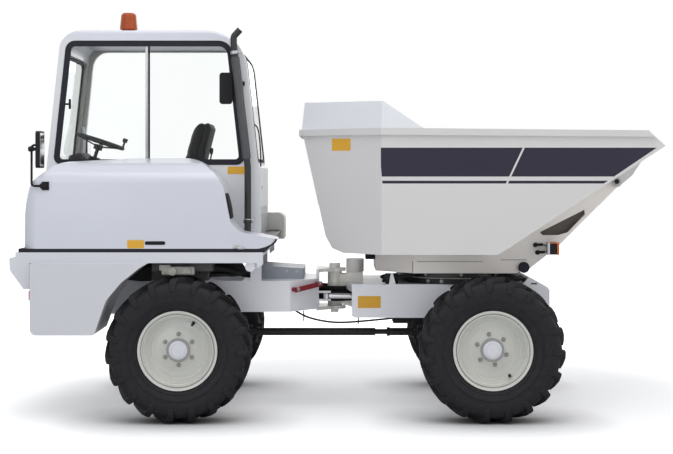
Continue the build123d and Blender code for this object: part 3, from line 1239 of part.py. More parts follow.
def skip_tub():
    """Thin-walled tub: bevelled rear corners, long front slope, open top and lip."""
    solid = slab_y(skip_outline(0), -SKIP_HALF_WIDTH, SKIP_HALF_WIDTH)
    for side in (-1, 1):
        solid -= skip_corner(side, 0)
    upward = [face for face in solid.faces() if face.normal_at().Z > 0.2 and face.center().Z > SKIP_RIM - 150]
    return solid, offset(solid, amount=-SKIP_WALL, openings=upward)


def rim_band(solid):
    """Folded rim that runs round the tub below the guard."""
    outline = [
        (SKIP_REAR - RIM_BAND_OUT, SKIP_RIM - RIM_BAND),
        (SKIP_REAR - RIM_BAND_OUT, SKIP_RIM),
        (SKIP_TOP_FRONT - 4, SKIP_RIM - 19),
        (SKIP_TOP_FRONT + 46, SKIP_RIM - 19 - RIM_BAND),
    ]
    half = SKIP_HALF_WIDTH + RIM_BAND_OUT
    band = slab_y(outline, -half, half)
    for side in (-1, 1):
        band -= skip_corner(side, RIM_BAND_OUT)
    return band - solid


def skip():
    """Swivelling tub with rim, pivot ears and the lugs of the tipping cylinder."""
    solid, body = skip_tub()
    body += rim_band(solid)
    ear = [
        (TIP_PIN_X - 170, slope_height(TIP_PIN_X - 170) + 3),
        (TIP_PIN_X + 230, slope_height(TIP_PIN_X + 230) + 3),
        (TIP_PIN_X + 175, TIP_PIN_Z + 136),
        (TIP_PIN_X + 117, TIP_PIN_Z + 48),
        (TIP_PIN_X + 38, TIP_PIN_Z - 20),
        (TIP_PIN_X - 38, TIP_PIN_Z - 20),
    ]
    for side in (-1, 1):
        start = SWIVEL_HALF_WIDTH + EAR_GAP
        low, high = sorted((side * start, side * (start + SWIVEL_PLATE)))
        body += slab_y(ear, low, high) + rod_y(TIP_PIN_X, TIP_PIN_Z, 42, low, high)
        inner = SWIVEL_HALF_WIDTH - SWIVEL_PLATE - 12
        low, high = sorted((side * inner, side * (start + SWIVEL_PLATE + 10)))
        body += rod_y(TIP_PIN_X, TIP_PIN_Z, TIP_PIN_RADIUS, low, high)
        lug = [
            (TIP_EYE_X - 90, slope_height(TIP_EYE_X - 90) + 3),
            (TIP_EYE_X + 90, slope_height(TIP_EYE_X + 90) + 3),
            (TIP_EYE_X + 36, TIP_EYE_Z - 24),
            (TIP_EYE_X - 36, TIP_EYE_Z - 24),
        ]
        low, high = sorted((side * 44, side * 62))
        cheek = slab_y(lug, low, high) + rod_y(TIP_EYE_X, TIP_EYE_Z, 40, low, high)
        body += cheek - rod_y(TIP_EYE_X, TIP_EYE_Z, TIP_PIN_RADIUS, low - 1, high + 1)
    return body


# ------------------------------------------------------------------ all nodes
def build():
    parts = {
        "rear_frame": rear_frame(),
        "deck_frame": deck_frame(),
        "rear_bumper": rear_bumper(),
        "tail_lamps": tail_lamps(),
        "side_tanks": Compound([side_tank(), mirrored(side_tank())]),
        "engine_hood": engine_hood(),
        "left_cover": left_cover(),
        "cab_platform": cab_platform(),
        "rubber_edge": rubber_edge(),
        "engine": engine(),
        "cab_shell": cab_shell(),
        "cab_roof": cab_roof(),
        "cab_glass": cab_glass(),
        "window_seals": window_seals(),
        "seat": seat(),
        "control_console": control_console(),
        "dashboard": dashboard(),
        "steering_wheel": steering_wheel(),
        "exhaust": exhaust(),
        "beacon": beacon(),
        "mirrors": mirrors(),
        "lock_bar": lock_bar(),
        "valve_cover": valve_cover(),
        "rear_axle": axle(REAR_AXLE, PIVOT - PROP_JOINT_REACH, FRAME_BOTTOM),
        "front_axle": axle(FRONT_AXLE, PIVOT + PROP_JOINT_REACH, FRONT_FRAME_BOTTOM),
        "front_frame": front_frame(),
        "slew_ring": slew_ring(),
        "swivel_frame": swivel_frame(),
        "rubber_buffers": rubber_buffers(),
        "work_lamps": work_lamps(),
        "skip": skip(),
        "prop_shaft_rear": prop_shaft_rear(),
        "prop_shaft_front": prop_shaft_front(),
        "steer_barrel": steer_barrel(),
        "steer_rod": steer_rod(),
        "tip_barrel": tip_barrel(),
        "tip_rod": tip_rod(),
    }
    tread = tyre()
    left_rim = rim()
    for name, x, side in WHEELS:
        place = Pos(x, side * WHEEL_Y, AXLE_HEIGHT)
        parts[f"{name}_tyre"] = place * tread
        parts[f"{name}_rim"] = place * (left_rim if side > 0 else mirrored(left_rim))
    return parts


for node, shape in build().items():
    save(shape, node)
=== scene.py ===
# %% [markdown]
# # A site dumper, dressed for its picture
# The machine's solids come from its construction model and never change here.
# This script gives them their paint, rubber, glass and steel, adds the small things
# that a solid model leaves out, and sets up a pale studio with one camera.

from math import cos, exp, pi, radians, sin

import bmesh
import bpy
from mathutils import Matrix, Vector


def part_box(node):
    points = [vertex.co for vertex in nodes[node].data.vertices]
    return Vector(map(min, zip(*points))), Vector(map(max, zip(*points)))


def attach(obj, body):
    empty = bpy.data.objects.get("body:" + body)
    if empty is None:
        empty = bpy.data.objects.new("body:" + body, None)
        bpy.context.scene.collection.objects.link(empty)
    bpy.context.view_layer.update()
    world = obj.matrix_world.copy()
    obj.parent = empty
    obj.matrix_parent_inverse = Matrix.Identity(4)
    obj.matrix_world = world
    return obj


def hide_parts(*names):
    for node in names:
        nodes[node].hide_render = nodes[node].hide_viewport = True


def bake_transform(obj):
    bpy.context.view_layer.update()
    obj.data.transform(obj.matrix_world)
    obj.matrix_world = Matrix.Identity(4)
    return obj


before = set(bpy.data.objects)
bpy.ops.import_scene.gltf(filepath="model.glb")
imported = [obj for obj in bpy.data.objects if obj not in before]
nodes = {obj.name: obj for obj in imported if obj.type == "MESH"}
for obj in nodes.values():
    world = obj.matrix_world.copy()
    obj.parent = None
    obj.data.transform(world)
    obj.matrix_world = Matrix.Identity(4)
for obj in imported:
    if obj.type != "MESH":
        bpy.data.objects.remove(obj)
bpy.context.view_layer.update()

# %% [markdown]
# A few short helpers keep the shaders readable. Each adds one node to a tree and feeds its
# inputs, and an input takes a number, a colour or the socket of another node.

# %% Helpers for objects and shader nodes
def in_scene(name, data):
    """An object for a mesh, a curve, a lamp or a camera, linked to the scene."""
    made = bpy.data.objects.new(name, data)
    bpy.context.scene.collection.objects.link(made)
    return made


def feed(tree, node, given):
    """Sets a node's inputs to numbers, colours or sockets."""
    for place, value in given.items():
        if isinstance(value, bpy.types.NodeSocket):
            tree.links.new(value, node.inputs[place])
        else:
            node.inputs[place].default_value = value


def add(tree, kind, given=None, **values):
    """A node with its inputs fed and its properties set."""
    node = tree.nodes.new(kind)
    for key, value in values.items():
        setattr(node, key, value)
    feed(tree, node, given or {})
    return node


def math_node(tree, operation, first, second=None, clamp=False):
    """A Math node; returns its output."""
    given = {0: first} if second is None else {0: first, 1: second}
    return add(tree, "ShaderNodeMath", given, operation=operation, use_clamp=clamp).outputs[0]


def mix_colour(tree, factor, first, second):
    """Mixes two colours, each a socket or four numbers."""
    given = {"Factor": factor, 6: first, 7: second}
    return add(tree, "ShaderNodeMix", given, data_type="RGBA").outputs[2]


def noise(tree, place, scale, detail=2.0):
    """A noise pattern over the places given; returns its grey value."""
    given = {"Vector": place, "Scale": scale, "Detail": detail}
    return add(tree, "ShaderNodeTexNoise", given).outputs["Fac"]


def bump(tree, height, distance, strength=1.0, invert=False):
    """Relief from a height; returns the bent normal."""
    given = {"Height": height, "Distance": distance, "Strength": strength}
    return add(tree, "ShaderNodeBump", given, invert=invert).outputs["Normal"]


def place_of(tree):
    """A point's place on the machine, then its length, breadth and height by themselves."""
    place = add(tree, "ShaderNodeTexCoord").outputs["Object"]
    return (place, *add(tree, "ShaderNodeSeparateXYZ", {0: place}).outputs)


def between(tree, value, low, high):
    """One where value lies from low to high."""
    above = math_node(tree, "GREATER_THAN", value, low)
    return math_node(tree, "MULTIPLY", above, math_node(tree, "LESS_THAN", value, high))


def node_group(name, inputs, outputs):
    """An empty shader group; inputs are (name, kind, default), outputs (name, kind)."""
    group = bpy.data.node_groups.new(name, "ShaderNodeTree")
    for label, kind, default in inputs:
        socket = group.interface.new_socket(label, in_out="INPUT", socket_type="NodeSocket" + kind)
        socket.default_value = default
    for label, kind in outputs:
        group.interface.new_socket(label, in_out="OUTPUT", socket_type="NodeSocket" + kind)
    return group, group.nodes.new("NodeGroupInput"), group.nodes.new("NodeGroupOutput")


print("shader helpers ready")

# %% [markdown]
# ## The studio
# The machine is seen square from its right side, from ten metres away with a long lens.
# Such a lens keeps the two near wheels round, and the far ones show a little smaller.
# The horizon lies above the middle of the picture, so the lens is shifted down, as an
# architect's camera is, instead of being tilted.

# %% Camera
CAMERA_AT = (-0.0065, -10.21, 1.758)
LENS = 70.9
PICTURE_WIDTH = 673.0
HORIZON_ABOVE_MIDDLE = 54.0

eye = bpy.data.cameras.new("side_camera")
eye.lens = LENS
eye.shift_y = -HORIZON_ABOVE_MIDDLE / PICTURE_WIDTH
eye.clip_end = 200.0
side_camera = in_scene("side_camera", eye)
side_camera.location = CAMERA_AT
side_camera.rotation_euler = (radians(90), 0, 0)
bpy.context.scene.camera = side_camera
print("camera at", CAMERA_AT, "lens", LENS)

# %% [markdown]
# White paint needs plain, even light: too much and its shape washes out. One large soft
# lamp hangs above and in front, a weaker one fills from the skip's end, and the room
# itself glows softly. Seen straight, in a mirror or through glass, the room is pure white:
# Light Path tells those rays from the ones that only light the machine.

# %% Lamps and room
LAMPS = [
    # name, place, aimed at, size in metres, watts, colour
    ("overhead_softbox", (0.3, -2.4, 7.2), (0.0, 0.0, 1.0), 7.0, 250.0, (1.0, 1.0, 1.0)),
    ("front_softbox", (-4.5, -7.5, 3.4), (-0.5, 0.0, 1.0), 4.5, 84.0, (0.93, 0.965, 1.0)),
    ("skip_end_softbox", (6.5, -5.0, 3.0), (1.0, 0.0, 1.0), 4.0, 62.0, (1.0, 0.965, 0.93)),
    ("far_side_softbox", (1.0, 7.0, 5.0), (0.0, 0.0, 1.2), 5.0, 120.0, (1.0, 1.0, 1.0)),
]
for name, place, aim, size, watts, colour in LAMPS:
    lamp = bpy.data.lights.new(name, "AREA")
    lamp.shape = "SQUARE"
    lamp.size = size
    lamp.energy = watts
    lamp.color = colour
    holder = in_scene(name, lamp)
    holder.location = place
    holder.rotation_euler = (Vector(aim) - Vector(place)).to_track_quat("-Z", "Y").to_euler()

ROOM_LIGHT = 0.45
room = bpy.data.worlds.new("pale_room")
bpy.context.scene.world = room
room.use_nodes = True
tree = room.node_tree
tree.nodes.clear()
soft = add(tree, "ShaderNodeBackground", {"Color": (0.95, 0.97, 1.0, 1.0), "Strength": ROOM_LIGHT})
white = add(tree, "ShaderNodeBackground", {"Color": (1.0, 1.0, 1.0, 1.0), "Strength": 1.0})
ray = add(tree, "ShaderNodeLightPath").outputs
seen = math_node(tree, "MAXIMUM", ray["Is Camera Ray"], ray["Is Glossy Ray"])
seen = math_node(tree, "MAXIMUM", seen, ray["Is Transmission Ray"])
choice = add(tree, "ShaderNodeMixShader", {0: seen, 1: soft.outputs[0], 2: white.outputs[0]})
add(tree, "ShaderNodeOutputWorld", {"Surface": choice.outputs[0]})
bpy.context.scene.view_settings.view_transform = "Standard"
print("lamps", len(LAMPS))

# %% [markdown]
# The floor is a pale sheet. It keeps the machine's shadow, and a glow that only the
# camera sees lifts its open part to the white of the room: a little near the machine,
# and fully from four metres away, so that no horizon shows. The Ambient Occlusion node
# deepens the shade close to the tyres, where that glow would wash it out.

# %% Floor
FLOOR_SIDE = 120.0
FLOOR_GLOW = 0.30               # near the machine
GLOW_FROM, GLOW_TO = 2.2, 4.2   # metres over which the floor turns white
GLOW_MIDDLE = (0.45, 0.0, 0.0)  # the point that they are measured from
OPEN_FLOOR = (0.92, 0.92, 0.93, 1.0)
DEEP_SHADE = (0.12, 0.12, 0.125, 1.0)
SHADE_REACH = 0.55              # metres from a tyre or the frame
SHADE_POWER = 1.7               # how fast the shade fades out

half = FLOOR_SIDE / 2
corners = [(-half, -half, 0), (half, -half, 0), (half, half, 0), (-half, half, 0)]
sheet = bpy.data.meshes.new("floor")
sheet.from_pydata(corners, [], [(0, 1, 2, 3)])
sheet.update()
floor = in_scene("floor", sheet)

pale = bpy.data.materials.new("pale_floor")
pale.use_nodes = True
tree = pale.node_tree
tree.nodes.clear()
corner = add(tree, "ShaderNodeAmbientOcclusion", {"Distance": SHADE_REACH}, samples=8)
deep = math_node(tree, "POWER", corner.outputs["AO"], SHADE_POWER)
matt = add(tree, "ShaderNodeBsdfDiffuse", {"Color": mix_colour(tree, deep, DEEP_SHADE, OPEN_FLOOR)})
place = add(tree, "ShaderNodeTexCoord").outputs["Object"]
shifted = add(tree, "ShaderNodeVectorMath", {0: place, 1: GLOW_MIDDLE}, operation="SUBTRACT")
away = add(tree, "ShaderNodeVectorMath", {0: shifted.outputs[0]}, operation="LENGTH")
rise = add(
    tree, "ShaderNodeMapRange",
    {"Value": away.outputs["Value"], 1: GLOW_FROM, 2: GLOW_TO, 3: FLOOR_GLOW, 4: 1.0},
    interpolation_type="SMOOTHSTEP",
)
level = math_node(tree, "MULTIPLY", rise.outputs["Result"], deep)
seen = add(tree, "ShaderNodeLightPath").outputs["Is Camera Ray"]
glow = add(tree, "ShaderNodeEmission", {"Strength": math_node(tree, "MULTIPLY", seen, level)})
both = add(tree, "ShaderNodeAddShader", {0: matt.outputs[0], 1: glow.outputs[0]})
add(tree, "ShaderNodeOutputMaterial", {"Surface": both.outputs[0]})
floor.data.materials.append(pale)
print("floor", FLOOR_SIDE, "m")

# %% [markdown]
# ## Finishes shared by many surfaces
# Paint on a working machine is never one flat colour. It varies slightly, carries a film
# of pale dust near the ground, and has the faint waviness of sprayed enamel. One shader
# node group makes these three effects from the place of each point on the machine, so
# neighbouring pieces share the same dust, and each paint only states its own values.

# %% The weathering group
CLOUD_SCALE, SPECK_SCALE = 3.1, 34.0  # broad patches and fine specks, in repeats a metre
FILM_GAIN = 3.2                       # brings the product of the two patterns up again
DUST_DULLS, SPECK_DULLS = 0.5, 0.12   # how much rougher they make the paint

weather, given, result = node_group(
    "weathered_surface",
    [
        ("Colour", "Color", (0.7, 0.7, 0.7, 1.0)),
        ("Dust colour", "Color", (0.52, 0.49, 0.44, 1.0)),
        ("Dust", "Float", 0.2),
        ("Dust height", "Float", 0.9),
        ("Tone change", "Float", 0.06),
        ("Roughness", "Float", 0.3),
        ("Ripple size", "Float", 60.0),
        ("Ripple depth", "Float", 0.02),
    ],
    [("Colour", "Color"), ("Roughness", "Float"), ("Normal", "Vector")],
)
place, _, _, height = place_of(weather)
asked = given.outputs
cloud = noise(weather, place, CLOUD_SCALE, 6.0)
speck = noise(weather, place, SPECK_SCALE, 4.0)
low = math_node(weather, "DIVIDE", height, asked["Dust height"])
low = math_node(weather, "SUBTRACT", 1.0, low, clamp=True)
film = math_node(weather, "MULTIPLY", cloud, speck)
film = math_node(weather, "MULTIPLY", film, FILM_GAIN)
film = math_node(weather, "MULTIPLY", film, low)
film = math_node(weather, "MULTIPLY", film, asked["Dust"], clamp=True)
shift = math_node(weather, "SUBTRACT", cloud, 0.5)
shift = math_node(weather, "MULTIPLY", shift, asked["Tone change"])
shift = math_node(weather, "ADD", shift, 1.0)
tone = add(weather, "ShaderNodeHueSaturation", {"Color": asked["Colour"], "Value": shift})
dusty = mix_colour(weather, film, tone.outputs["Color"], asked["Dust colour"])
dull = math_node(weather, "MULTIPLY", film, DUST_DULLS)
sheen = math_node(weather, "MULTIPLY", speck, SPECK_DULLS)
rough = math_node(weather, "ADD", asked["Roughness"], dull)
rough = math_node(weather, "ADD", rough, sheen, clamp=True)
ripple = noise(weather, place, asked["Ripple size"], 3.0)
raised = math_node(weather, "MULTIPLY", ripple, asked["Ripple depth"])
feed(weather, result, {"Colour": dusty, "Roughness": rough, "Normal": bump(weather, raised, 0.01)})
print("group", weather.name)

# %% [markdown]
# Every plain finish is one Principled shader with that group before it. A table keeps
# their values together. Paint has a clear coat, rubber has none, and the chromed rods are
# metal. Colours are linear, so 0.72 is the pale grey that white enamel shows in shade.

# %% Plain finishes
LINING = (0.42, 0.41, 0.37)
COAT_ROUGHNESS = 0.12
FINISHES = {
    # name: (colour, roughness, coat, metal, dust, tone, ripple size, ripple depth)
    "machine_white": ((0.705, 0.715, 0.76), 0.30, 0.35, 0.0, 0.10, 0.05, 45, 0.010),
    "hood_white": ((0.665, 0.68, 0.75), 0.26, 0.45, 0.0, 0.04, 0.04, 7, 0.030),
    "cover_white": ((0.645, 0.65, 0.69), 0.34, 0.30, 0.0, 0.10, 0.04, 9, 0.020),
    "wheel_cream": ((0.63, 0.635, 0.595), 0.36, 0.25, 0.0, 0.30, 0.06, 50, 0.012),
    "lining_grey": (LINING, 0.55, 0.05, 0.0, 0.05, 0.06, 120, 0.03),
    # This dark brown draws the swivel frame's seam lines and is painted shade on the arm's inner plates.
    "shade_and_seam_brown": ((0.115, 0.103, 0.088), 0.60, 0.0, 0.0, 0.0, 0.25, 20, 0.02),
    "hub_grey": ((0.30, 0.30, 0.31), 0.45, 0.10, 0.0, 0.05, 0.10, 60, 0.02),
    "boot_black": ((0.009, 0.009, 0.010), 0.60, 0.0, 0.0, 0.05, 0.10, 300, 0.05),
    # The far-side cover's cream is partly its own tone and partly painted light, set lighter than the other
    # covers while it lies in shade.
    "cover_cream_and_painted_light": ((0.86, 0.85, 0.79), 0.38, 0.25, 0.0, 0.05, 0.04, 9, 0.020),
    "valve_grey": ((0.34, 0.37, 0.42), 0.42, 0.20, 0.0, 0.12, 0.06, 60, 0.02),
    "lock_red": ((0.26, 0.010, 0.016), 0.34, 0.30, 0.0, 0.05, 0.10, 60, 0.02),
    "satin_black": ((0.012, 0.012, 0.014), 0.42, 0.10, 0.0, 0.08, 0.20, 80, 0.03),
    "moulded_black": ((0.018, 0.018, 0.020), 0.55, 0.0, 0.0, 0.06, 0.20, 400, 0.10),
    "seal_rubber": ((0.022, 0.021, 0.030), 0.62, 0.0, 0.0, 0.05, 0.10, 200, 0.05),
    "hose_rubber": ((0.014, 0.014, 0.015), 0.50, 0.0, 0.0, 0.10, 0.15, 300, 0.05),
    "seat_vinyl": ((0.014, 0.012, 0.012), 0.46, 0.05, 0.0, 0.0, 0.20, 260, 0.25),
    "cast_iron": ((0.060, 0.060, 0.064), 0.62, 0.0, 0.3, 0.35, 0.30, 90, 0.20),
    "bare_steel": ((0.46, 0.46, 0.47), 0.34, 0.0, 1.0, 0.05, 0.10, 150, 0.03),
    "rod_chrome": ((0.72, 0.72, 0.74), 0.10, 0.0, 1.0, 0.0, 0.04, 30, 0.004),
    "zinc_bolt": ((0.30, 0.29, 0.27), 0.42, 0.0, 1.0, 0.05, 0.15, 200, 0.05),
    "plate_yellow": ((0.76, 0.40, 0.022), 0.40, 0.15, 0.0, 0.05, 0.08, 40, 0.01),
    "lens_red": ((0.42, 0.010, 0.012), 0.14, 0.5, 0.0, 0.0, 0.10, 60, 0.01),
    "lens_amber": ((0.72, 0.13, 0.008), 0.16, 0.5, 0.0, 0.0, 0.10, 60, 0.01),
    "mirror_silver": ((0.85, 0.86, 0.88), 0.04, 0.0, 1.0, 0.0, 0.02, 10, 0.0),
}
# Black rubber and plastic mirror less of the pale room than paint does.
SPECULAR = {
    "satin_black": 0.25, "moulded_black": 0.15, "seal_rubber": 0.2, "hose_rubber": 0.2,
    "seat_vinyl": 0.15, "boot_black": 0.15,
}
DUST_HEIGHT = {"wheel_cream": 0.75, "cast_iron": 1.6}


def principled(name):
    """A new material with its Principled shader."""
    made = bpy.data.materials.new(name)
    made.use_nodes = True
    return made, made.node_tree, made.node_tree.nodes["Principled BSDF"]


def weathered(tree, shader, colour, rough, dust, tone, size, depth, height=0.9):
    """Places the weathering group before a shader."""
    worn = add(tree, "ShaderNodeGroup", node_tree=weather)
    feed(tree, worn, {
        "Colour": colour, "Roughness": rough, "Dust": dust, "Dust height": height,
        "Tone change": tone, "Ripple size": size, "Ripple depth": depth,
    })
    feed(tree, shader, {
        "Base Color": worn.outputs["Colour"], "Roughness": worn.outputs["Roughness"],
        "Normal": worn.outputs["Normal"],
    })


def paint(node, material):
    """Gives a node of the machine one material."""
    nodes[node].data.materials.clear()
    nodes[node].data.materials.append(material)


finish = {}
for name, (colour, rough, coat, metal, dust, tone, size, depth) in FINISHES.items():
    finish[name], tree, shader = principled(name)
    dust_height = DUST_HEIGHT.get(name, 0.9)
    weathered(tree, shader, (*colour, 1.0), rough, dust, tone, size, depth, dust_height)
    feed(tree, shader, {
        "Coat Weight": coat, "Coat Roughness": COAT_ROUGHNESS, "Metallic": metal,
        "Specular IOR Level": SPECULAR.get(name, 0.5),
    })
print("plain finishes", len(finish))

# %% [markdown]
# Window glass is clear with a faint green-grey body. Its thickness is real, because the
# panes are solids, so plain transmission is enough. Its index is set below that of real
# glass: in this white room a real pane would mirror so much that the cab looked foggy.

# %% Window glass
GLASS_INDEX = 1.18
finish["window_glass"], tree, shader = principled("window_glass")
tint = noise(tree, place_of(tree)[0], 1.5)
feed(tree, shader, {
    "Base Color": mix_colour(tree, tint, (0.97, 0.99, 0.985, 1.0), (0.94, 0.97, 0.965, 1.0)),
    "Roughness": 0.0, "IOR": GLASS_INDEX, "Specular IOR Level": 0.12, "Transmission Weight": 1.0,
})
print("glass ready")

# %% [markdown]
# The skip wears a dark band, a thin line below it and a slanting white stroke across
# both. They are decals on flat steel, so the paint works them out from the place of each
# point: height, length, and how far out from the middle, to keep them off the inside.
# The spill guard above them carries painted light: its paint is set lighter and cooler than
# the skip's, standing in for the light that falls on it in open air.

# %% Skip paint with its bands and painted light on the guard
BAND_LOW, BAND_HIGH = 1.733, 1.936
LINE_LOW, LINE_HIGH = 1.684, 1.704
BAND_START = (0.316, -0.09)      # length at the thin line, and its lean with height
BAND_END = (1.871, 1.478)        # length at the thin line, and how it runs along the slope
STROKE = (1.190, 0.473, 0.0072)  # foot of the stroke, its lean and half of its width
SIDE_FACE = 0.896                # breadth beyond which a point is on the outside
# Above GUARD_FOOT the skip's paint carries painted light.
GUARD_FOOT = 2.076               # height at which the spill guard starts
BAND_COLOUR = (0.017, 0.0145, 0.033, 1.0)

bands, given, result = node_group("skip_bands", [], [("Band", "Float")])
_, along, across, height = place_of(bands)


def beyond(tree, foot, lean):
    """Distance ahead of a line through a foot at the thin line, leaning with height."""
    rise = math_node(tree, "SUBTRACT", height, LINE_LOW)
    line = math_node(tree, "ADD", math_node(tree, "MULTIPLY", rise, lean), foot)
    return math_node(tree, "SUBTRACT", along, line)


band = between(bands, height, BAND_LOW, BAND_HIGH)
dark = math_node(bands, "ADD", band, between(bands, height, LINE_LOW, LINE_HIGH))
stroke = math_node(bands, "ABSOLUTE", beyond(bands, *STROKE[:2]))
for operation, measured, limit in (
    ("GREATER_THAN", beyond(bands, *BAND_START), 0.0),
    ("LESS_THAN", beyond(bands, *BAND_END), 0.0),
    ("GREATER_THAN", stroke, STROKE[2]),
    ("GREATER_THAN", math_node(bands, "ABSOLUTE", across), SIDE_FACE),
):
    dark = math_node(bands, "MULTIPLY", dark, math_node(bands, operation, measured, limit))
feed(bands, result, {"Band": dark})

finish["skip_paint"], tree, shader = principled("skip_paint")
placed = add(tree, "ShaderNodeGroup", node_tree=bands)
guard_painted_light = math_node(tree, "GREATER_THAN", place_of(tree)[3], GUARD_FOOT)
# painted light: the guard's white is lighter and cooler than the skip's sides
skip_white_and_guard_light = mix_colour(tree, guard_painted_light, (0.69, 0.68, 0.675, 1.0), (0.83, 0.845, 0.88, 1.0))
two_tone = mix_colour(tree, placed.outputs["Band"], skip_white_and_guard_light, BAND_COLOUR)
weathered(tree, shader, two_tone, 0.36, 0.0, 0.04, 30, 0.012)
feed(tree, shader, {"Specular IOR Level": 0.35, "Coat Weight": 0.12, "Coat Roughness": 0.15})
print("skip bands from", BAND_LOW, "to", BAND_HIGH)

# %% [markdown]
# The cab is enamelled outside and lined in grey-beige inside. Its posts are hollow
# sections, so the paint asks which way a point faces: where it faces the middle of the
# machine it gets the lining's colour.

# %% Cab paint, white outside and lined inside
finish["cab_paint"], tree, shader = principled("cab_paint")
facing = add(tree, "ShaderNodeNewGeometry").outputs["Normal"]
sideways = add(tree, "ShaderNodeSeparateXYZ", {0: facing}).outputs["Y"]
inward = math_node(tree, "MULTIPLY", place_of(tree)[2], sideways)
lining = math_node(tree, "LESS_THAN", inward, -0.2)
cab_tone = mix_colour(tree, lining, (0.70, 0.71, 0.73, 1.0), (*LINING, 1.0))
weathered(tree, shader, cab_tone, 0.34, 0.03, 0.05, 30, 0.012)
feed(tree, shader, {"Coat Weight": 0.3})
print("cab paint ready")

# %% [markdown]
# The two frames lie low, in shade, and carry painted light: their paint is set lighter than
# the hood's white, and that of the knuckles at the articulation lighter still and warmer, as
# if lit in open air. The paint tells the knuckles by their place, close to the pivot's axis.

# %% Frame paint with painted light, palest at the castings by the pivot
CAST_FROM, CAST_TO, CAST_REACH = -0.160, 0.205, 0.200
finish["frame_paint_and_painted_light"], tree, shader = principled("frame_paint_and_painted_light")
_, along, across, _ = place_of(tree)
lengthwise = between(tree, along, CAST_FROM, CAST_TO)
castings_painted_light = math_node(tree, "MULTIPLY", lengthwise, between(tree, across, -CAST_REACH, CAST_REACH))
# painted light: both whites are lighter than the hood's, and the castings' is also warmer
white = mix_colour(tree, castings_painted_light, (0.87, 0.878, 0.925, 1.0), (0.95, 0.93, 0.88, 1.0))
weathered(tree, shader, white, 0.30, 0.10, 0.05, 45, 0.010)
feed(tree, shader, {"Coat Weight": 0.35})
print("castings from", CAST_FROM, "to", CAST_TO)

# %% [markdown]
# ## Painting the solids
# Each node of the machine gets one finish. A few get a paint of their own in a later cell:
# the exhaust with its perforated guard, the beacon with its foot, and the swivel frame.

# %% Which finish each node wears
WEARS = {
    "machine_white": ["deck_frame", "rear_bumper", "swivel_frame"],
    "frame_paint_and_painted_light": ["rear_frame", "front_frame"],
    "hood_white": ["engine_hood", "cab_roof"],
    "cover_white": ["side_tanks"],
    "cover_cream_and_painted_light": ["left_cover"],
    "lock_red": ["lock_bar"],
    "valve_grey": ["valve_cover"],
    "satin_black": [
        "cab_platform", "rear_axle", "front_axle", "slew_ring", "exhaust",
        "prop_shaft_rear", "prop_shaft_front", "steer_barrel", "tip_barrel",
    ],
    "seal_rubber": ["rubber_edge", "window_seals", "rubber_buffers"],
    "moulded_black": ["control_console", "dashboard", "steering_wheel", "mirrors", "work_lamps"],
    "seat_vinyl": ["seat"],
    "cast_iron": ["engine"],
    "rod_chrome": ["steer_rod", "tip_rod"],
    "lens_red": ["tail_lamps"],
    "lens_amber": ["beacon"],
    "window_glass": ["cab_glass"],
    "skip_paint": ["skip"],
    "cab_paint": ["cab_shell"],
}
WHEELS = ["rear_left", "rear_right", "front_left", "front_right"]
WEARS["wheel_cream"] = [wheel + "_rim" for wheel in WHEELS]
WEARS["hose_rubber"] = [wheel + "_tyre" for wheel in WHEELS]
for name, worn_by in WEARS.items():
    for node in worn_by:
        paint(node, finish[name])
unpainted = set(nodes) - {node for worn_by in WEARS.values() for node in worn_by}
print("painted", len(nodes) - len(unpainted), "left over", sorted(unpainted))

# %% [markdown]
# ## Tools for the pieces
# The smaller pieces are made from a few kinds of form: a profile spun round an axis, a
# plate with softened edges, and a hose along a smooth line. Each helper returns a closed
# mesh that faces outwards, wears a finish and rides on a body.

# %% Helpers for pieces
SHARP = radians(35)  # edges that turn by more than this stay sharp


def dress(piece, wears, body):
    """Gives a piece its finish and slot, and lets it ride on a body if one is named."""
    if not piece.data.materials:
        piece.data.materials.append(finish[wears])
    if body:
        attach(piece, body)
    return piece


def drawn_mesh(shape, name):
    """A bmesh made into a mesh whose faces all look outwards."""
    bmesh.ops.recalc_face_normals(shape, faces=shape.faces)
    mesh = bpy.data.meshes.new(name)
    shape.to_mesh(mesh)
    shape.free()
    return mesh


def shade(mesh, smooth=True):
    """Smooth shading between sharp edges, or flat shading."""
    for face in mesh.polygons:
        face.use_smooth = smooth
    if smooth:
        mesh.set_sharp_from_angle(angle=SHARP)


def settle(shape, name, wears, body, smooth=True):
    """Turns a bmesh into a piece that rides on a body."""
    mesh = drawn_mesh(shape, name)
    shade(mesh, smooth)
    return dress(in_scene(name, mesh), wears, body)


def skin(shape, rings, closed=False):
    """Faces between rings of points, and a cap on each end unless the rings close."""
    size = len(rings[0])
    for near, far in zip(rings, rings[1:] + rings[:1] if closed else rings[1:]):
        for k in range(size):
            shape.faces.new((near[k], near[(k + 1) % size], far[(k + 1) % size], far[k]))
    if not closed:
        shape.faces.new(rings[0])
        shape.faces.new(rings[-1][::-1])


def spun(shape, profile, centre, axis, steps=48):
    """Spins (radius, along) points round an axis through a centre and closes the form."""
    axis = Vector(axis).normalized()
    side = axis.orthogonal().normalized()
    other = axis.cross(side)
    rings = []
    for step in range(steps):
        angle = 2 * pi * step / steps
        outward = side * cos(angle) + other * sin(angle)
        rings.append([shape.verts.new(Vector(centre) + outward * r + axis * a) for r, a in profile])
    skin(shape, rings, closed=True)
    bmesh.ops.remove_doubles(shape, verts=shape.verts, dist=1e-6)
    return shape


